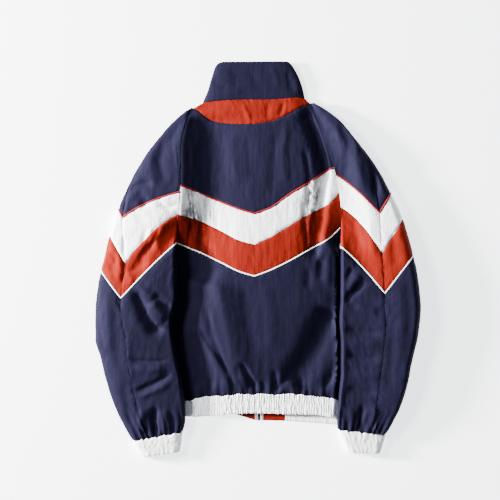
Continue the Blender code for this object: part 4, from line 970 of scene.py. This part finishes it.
# ---- cuffs -----------------------------------------------------------------------------
# White cuffs, shirred over elastic like the waistband and sewn to the gathered sleeve ends.
# Each is a flattened ring, narrower at the hand.
LEFT_CUFF = ((-152, -351), (-256, -371), (-158, -392), (-236, -403))
RIGHT_CUFF = ((163, -347), (263, -357), (184, -393), (251, -396))
CUFF_HEIGHTS = (20.0, 17.0)
for side, node, corners in ((0, "left_cuff", LEFT_CUFF), (1, "right_cuff", RIGHT_CUFF)):
    in_top, out_top, in_end, out_end = (np.array(p, float) for p in corners)
    t = np.linspace(0, 1, 21)[:, None]
    c = np.linspace(0, 2, 301)[None, :-1]
    f = ring_share(c)
    start = in_top + (out_top - in_top) * f[..., None]
    end = in_end + (out_end - in_end) * f[..., None]
    start[..., 1] += cuff_scallops(f)
    plan = start + (end - start) * t[..., None]
    height = CUFF_HEIGHTS[0] + (CUFF_HEIGHTS[1] - CUFF_HEIGHTS[0]) * t
    fold = height * 0.42
    over = rounded(f, 0.2) * rounded(1 - f, 0.2)
    flat = rounded(f, 0.14) * rounded(1 - f, 0.14)
    z = np.where(c <= 1, fold + (height - fold) * over, fold - fold * flat)
    grid = np.dstack([plan, z])
    padded = np.concatenate([grid[:, -1:], grid, grid[:, :1]], axis=1)
    facing = normals(padded)[:, 1:-1] * (-1, 1)[side]
    turns, share = np.meshgrid(np.where(c <= 1, f * 8, 16 - f * 8)[0], t[:, 0])
    ridges = shirring(turns, share, 20.0 + side)
    outward = ridges * np.where(c <= 1, 1.2, 0.0) * ease(np.minimum(c, np.abs(1 - c)) / 0.08)
    rolled = 1.2 * np.exp(-np.minimum(t, 1 - t) * 44 / 2.0) * (c <= 1)
    outer = grid + facing * (outward - rolled)[..., None]
    stitch_lines += [(ELASTIC, outer[row, 4:146], facing[row, 4:146]) for row in (4, 10, 16)]
    inner = grid - facing * BAND
    for part in (outer, inner):
        part[0] += unit(grid[1] - grid[0]) * 0.2
    piece = shell(node + "_cloth", outer, inner, ELASTIC, ring=True)
    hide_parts(node)

# ---- collar ----------------------------------------------------------------------------
# A stand collar of doubled navy nylon, flattened as it lies: the back of it is up, and its
# two fronts run under to the zip.
COLLAR_DEEP = 78
COLLAR_CREASES = (
    # left, right, height, points
    (6, 7, -1.8, ((-96, 366), (-60, 352))),
    (6, 6, 1.4, ((-86, 384), (-40, 372))),
    (5, 6, 1.3, ((-70, 340), (-30, 345))),
    (8, 7, -1.2, ((-20, 392), (10, 340))),
    (7, 6, 1.4, ((30, 398), (44, 352))),
    (6, 6, -1.8, ((60, 388), (70, 340))),
    (7, 7, -1.0, ((-50, 396), (-46, 350))),
    (5, 5, 1.4, ((78, 372), (84, 338))),
)
v = spaced(COLLAR_DEEP, 2.8)
left_x, right_x = through(np.linspace(0, 1, len(COLLAR)), COLLAR, v)[:, [0, 2]].T
edges = [np.arccos(1 - 2 * (edge - left_x) / (right_x - left_x)) / math.pi for edge in TAPE_EDGES]
under = spaced(90, 3.4)
over = np.tile(np.linspace(0, 1, 76)[1:-1], (len(v), 1))
c = np.concatenate([-edges[0][:, None] * (1 - under) - 1e-9, over,
                    1 + (1 - edges[1])[:, None] * under], axis=1)
c[:, len(under) - 1] = 0
grid = collar_place(np.repeat(v[:, None], c.shape[1], axis=1), c)
facing = -normals(grid)
above = ease(np.minimum(c, 1 - c) / 0.12)
top_edge = (1 - v)[:, None] * COLLAR_DEEP
creased = creases(grid[..., 0], grid[..., 1], COLLAR_CREASES)
relief = (crumple(grid, 15.0, 17.0) * 0.18 + 0.7 * creased) * above
relief += seam_dip(v * COLLAR_DEEP)[:, None] * above - 1.2 * np.exp(-top_edge / 1.6) * above
grid += facing * relief[..., None]
shown = slice(len(under) + 4, -len(under) - 4)
stitch_lines += [(NAVY, grid[row, shown], facing[row, shown]) for row in (3, -4)]
inner = grid - facing * (BAND - 0.8 * np.exp(-top_edge / 1.6))[..., None]
piece = shell("collar_cloth", drawn_in(grid, (0.4, 0, SEAM, SEAM)),
              drawn_in(inner, (-TURNED, 0, SEAM, SEAM)), NAVY)
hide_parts("collar")

# ---- topstitching ----------------------------------------------------------------------
# Lockstitches of twisted thread, in the colour of the cloth: round the crescent and the
# collar, down the raglan seams, and over the elastic in the waistband and the cuffs.
STITCH_PITCH, STITCH_LONG = 3.0, 2.3
THREAD_WIDE, THREAD_HIGH = 0.3, 0.3     # half width, height
threads = {
    NAVY: ("navy_stitches", "navy_nylon", (0.016, 0.015, 0.045), (0.008, 0.008, 0.024)),
    RED: ("red_stitches", "red_nylon", (0.24, 0.018, 0.01), (0.14, 0.01, 0.006)),
    WHITE: ("white_stitches", "white_nylon", (0.95, 0.96, 0.97), (0.8, 0.82, 0.85)),
    ELASTIC: ("elastic_stitches", "white_elastic", (0.95, 0.96, 0.97), (0.8, 0.82, 0.85)),
}


def read_along(at, run, rows):
    """Rows read at distances along a line, whose own distances are run."""
    return np.stack([np.interp(at, run, rows[:, k]) for k in range(3)], -1)


for cloth, (name, slot, colour, shade) in threads.items():
    points, faces = [], []
    for finish, line, facing in stitch_lines:
        if finish is not cloth:
            continue
        run = np.concatenate([[0], np.cumsum(np.linalg.norm(np.diff(line, axis=0), axis=-1))])
        starts = np.arange(0.5, run[-1] - STITCH_LONG, STITCH_PITCH)
        rings = []
        for share, high in ((0.0, -0.3), (0.5, THREAD_HIGH), (1.0, -0.3)):
            at = starts + share * STITCH_LONG
            middle, up = read_along(at, run, line), read_along(at, run, facing)
            aside = unit(np.cross(read_along(at + 0.4, run, line) - middle, up))
            for out, rise in ((-THREAD_WIDE, -0.25), (THREAD_WIDE, -0.25),
                              (THREAD_WIDE * 0.7, 0.0), (-THREAD_WIDE * 0.7, 0.0)):
                rings.append(middle + aside * out + up * (high + rise))
        for corners in np.stack(rings, axis=1):
            faces += tube_faces(len(points), 3, 4)
            points += list(corners)
    if points:
        piece = lay(name, points, faces, piping_finish(name.replace("_", " "), colour, shade))

# ---- zip -------------------------------------------------------------------------------
# A moulded zip under the fronts' edges: two woven tapes, two rows of teeth that mesh, a
# die-cast slider near the neck, and its pull, which hangs on a pin and swings.
ZIP_FOOT = -329             # y of its lower end
TAPE, CHAIN = 1.2, 2.2      # thickness
SLIDER_TOP, SLIDER_LENGTH = 346.0, 11.0
CHAIN_TOP = SLIDER_TOP - SLIDER_LENGTH - 1
tape_finish = piping_finish("zip tape", (0.8, 0.82, 0.85), (0.62, 0.64, 0.68))
teeth_finish, tree = new_finish("moulded zip teeth")
grime = add_node(tree, "TexNoise", {"Scale": 900.0})["Fac"]
dulled = add_node(tree, "MapRange", {"Value": grime, "To Min": 0.3, "To Max": 0.45})["Result"]
feed(tree, tree.nodes["Principled BSDF"], {
    "Base Color": (0.05, 0.05, 0.056, 1), "Roughness": dulled, "Specular IOR Level": 0.25})

for node, x_from, x_to in (("zip_tape_left", TAPE_EDGES[0], ZIP_X - CHAIN_HALF_WIDTH),
                           ("zip_tape_right", ZIP_X + CHAIN_HALF_WIDTH, TAPE_EDGES[1])):
    y = np.linspace(SLIDER_TOP + 2, ZIP_FOOT, 220)
    x = np.array([x_from + 0.15, x_from + 0.6, (x_from + x_to) / 2, x_to - 0.6, x_to - 0.15])
    plan = np.stack(np.broadcast_arrays(x[None, :], y[:, None]), -1)
    low = surface_lift(plan[..., 0], plan[..., 1])
    edge = np.array([0.35, 0, 0, 0, 0.35])[None]
    piece = shell(node + "_cloth", np.dstack([plan, low + TAPE - edge]),
                  np.dstack([plan, low + edge]), tape_finish)
    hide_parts(node)

TOOTH_PITCH = 3.0
TOOTH = (
    # from the middle, half width along the zip, less at top and bottom
    (3.1, 0.6, 0.35), (1.2, 0.6, 0.1), (0.2, 0.66, 0.0), (-0.9, 0.35, 0.2))
STRIP_RINGS = 140           # of the strip of tape that the teeth stand on
points, faces = [], []
for index in range(int((CHAIN_TOP - ZIP_FOOT) / (TOOTH_PITCH / 2))):
    y = ZIP_FOOT + 1.2 + index * TOOTH_PITCH / 2
    way = 1 if index % 2 else -1
    low = float(surface_lift(np.array(ZIP_X), np.array(y)))
    faces += tube_faces(len(points), 4, 4)
    for x_out, half, drop in TOOTH:
        foot, top = low + (0.75 + drop), low + (CHAIN - drop)
        points += [(ZIP_X + way * x_out, y + dy, z)
                   for dy, z in ((-half, foot), (half, foot), (half, top), (-half, top))]
faces += tube_faces(len(points), STRIP_RINGS, 4)
y = np.linspace(ZIP_FOOT, CHAIN_TOP, STRIP_RINGS)
for row, low in zip(y, surface_lift(np.full(STRIP_RINGS, ZIP_X), y)):
    points += [(ZIP_X + x, row, low + z)
               for x, z in ((-2.9, 0.1), (2.9, 0.1), (2.9, 0.7), (-2.9, 0.7))]
piece = lay("zip_teeth", points, faces, teeth_finish)
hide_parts("zip_chain")

metal, tree = new_finish("lacquered zip metal")
scratch = add_node(tree, "TexNoise", {"Scale": 700.0, "Detail": 4.0})["Fac"]
sheen_and_wear = add_node(tree, "MapRange", {"Value": scratch, "To Min": 0.22, "To Max": 0.42})["Result"]
feed(tree, tree.nodes["Principled BSDF"], {
    "Base Color": (0.42, 0.42, 0.44, 1), "Metallic": 0.9, "Roughness": sheen_and_wear})
for node in ("zip_slider", "zip_pull"):
    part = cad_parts[node]
    part.data.materials.clear()
    part.data.materials.append(metal)
    soft_edge = part.modifiers.new("cast edge", "BEVEL")
    soft_edge.width = 0.00015
    soft_edge.segments = 2

# ---- surface, light and camera ---------------------------------------------------------
# The jacket lies on a plain pale surface, seen from straight above. Two soft windows stand at
# the left, the stronger one low, so that each crease is lit on its left, shaded on its right.
VIEW_WIDE = 1.025           # metres of the surface across the picture
LENS, SENSOR = 100.0, 36.0
link = bpy.context.scene.collection.objects.link
pale, tree = new_finish("pale surface")
feed(tree, tree.nodes["Principled BSDF"], {
    "Base Color": (0.95, 0.96, 0.97, 1), "Roughness": 0.8, "Specular IOR Level": 0.1,
    "Emission Color": (0.93, 0.97, 1.0, 1), "Emission Strength": 2.6})
table = bmesh.new()
bmesh.ops.create_grid(table, x_segments=2, y_segments=2, size=6.0)
surface = bpy.data.meshes.new("surface")
table.to_mesh(surface)
table.free()
surface.materials.append(pale)
floor = bpy.data.objects.new("surface", surface)
floor.location = (0, 0, -0.0002)
link(floor)

for name, place, size, power, tint in (
        ("low window", (-3.71, 0.56, 0.952), 0.49, 1509.0, (1.0, 0.98, 0.96)),
        ("high window", (-2.45, 0.98, 2.1), 0.7, 212.0, (1.0, 1.0, 1.0))):
    lamp = bpy.data.lights.new(name, "AREA")
    lamp.size, lamp.energy, lamp.color = size, power, tint
    light = bpy.data.objects.new(name, lamp)
    light.location = place
    light.rotation_euler = (Vector((0, 0, 0)) - Vector(place)).to_track_quat("-Z", "Y").to_euler()
    link(light)
world = bpy.data.worlds.new("studio")
world.use_nodes = True
feed(world.node_tree, world.node_tree.nodes["Background"], {
    "Color": (0.85, 0.92, 1.0, 1), "Strength": 0.28})
bpy.context.scene.world = world

lens = bpy.data.cameras.new("camera")
lens.lens, lens.sensor_width = LENS, SENSOR
camera = bpy.data.objects.new("camera", lens)
camera.location = (-0.0162, 0.0182, VIEW_WIDE * LENS / SENSOR)
camera.rotation_euler = (0, 0, 0)
link(camera)
bpy.context.scene.camera = camera
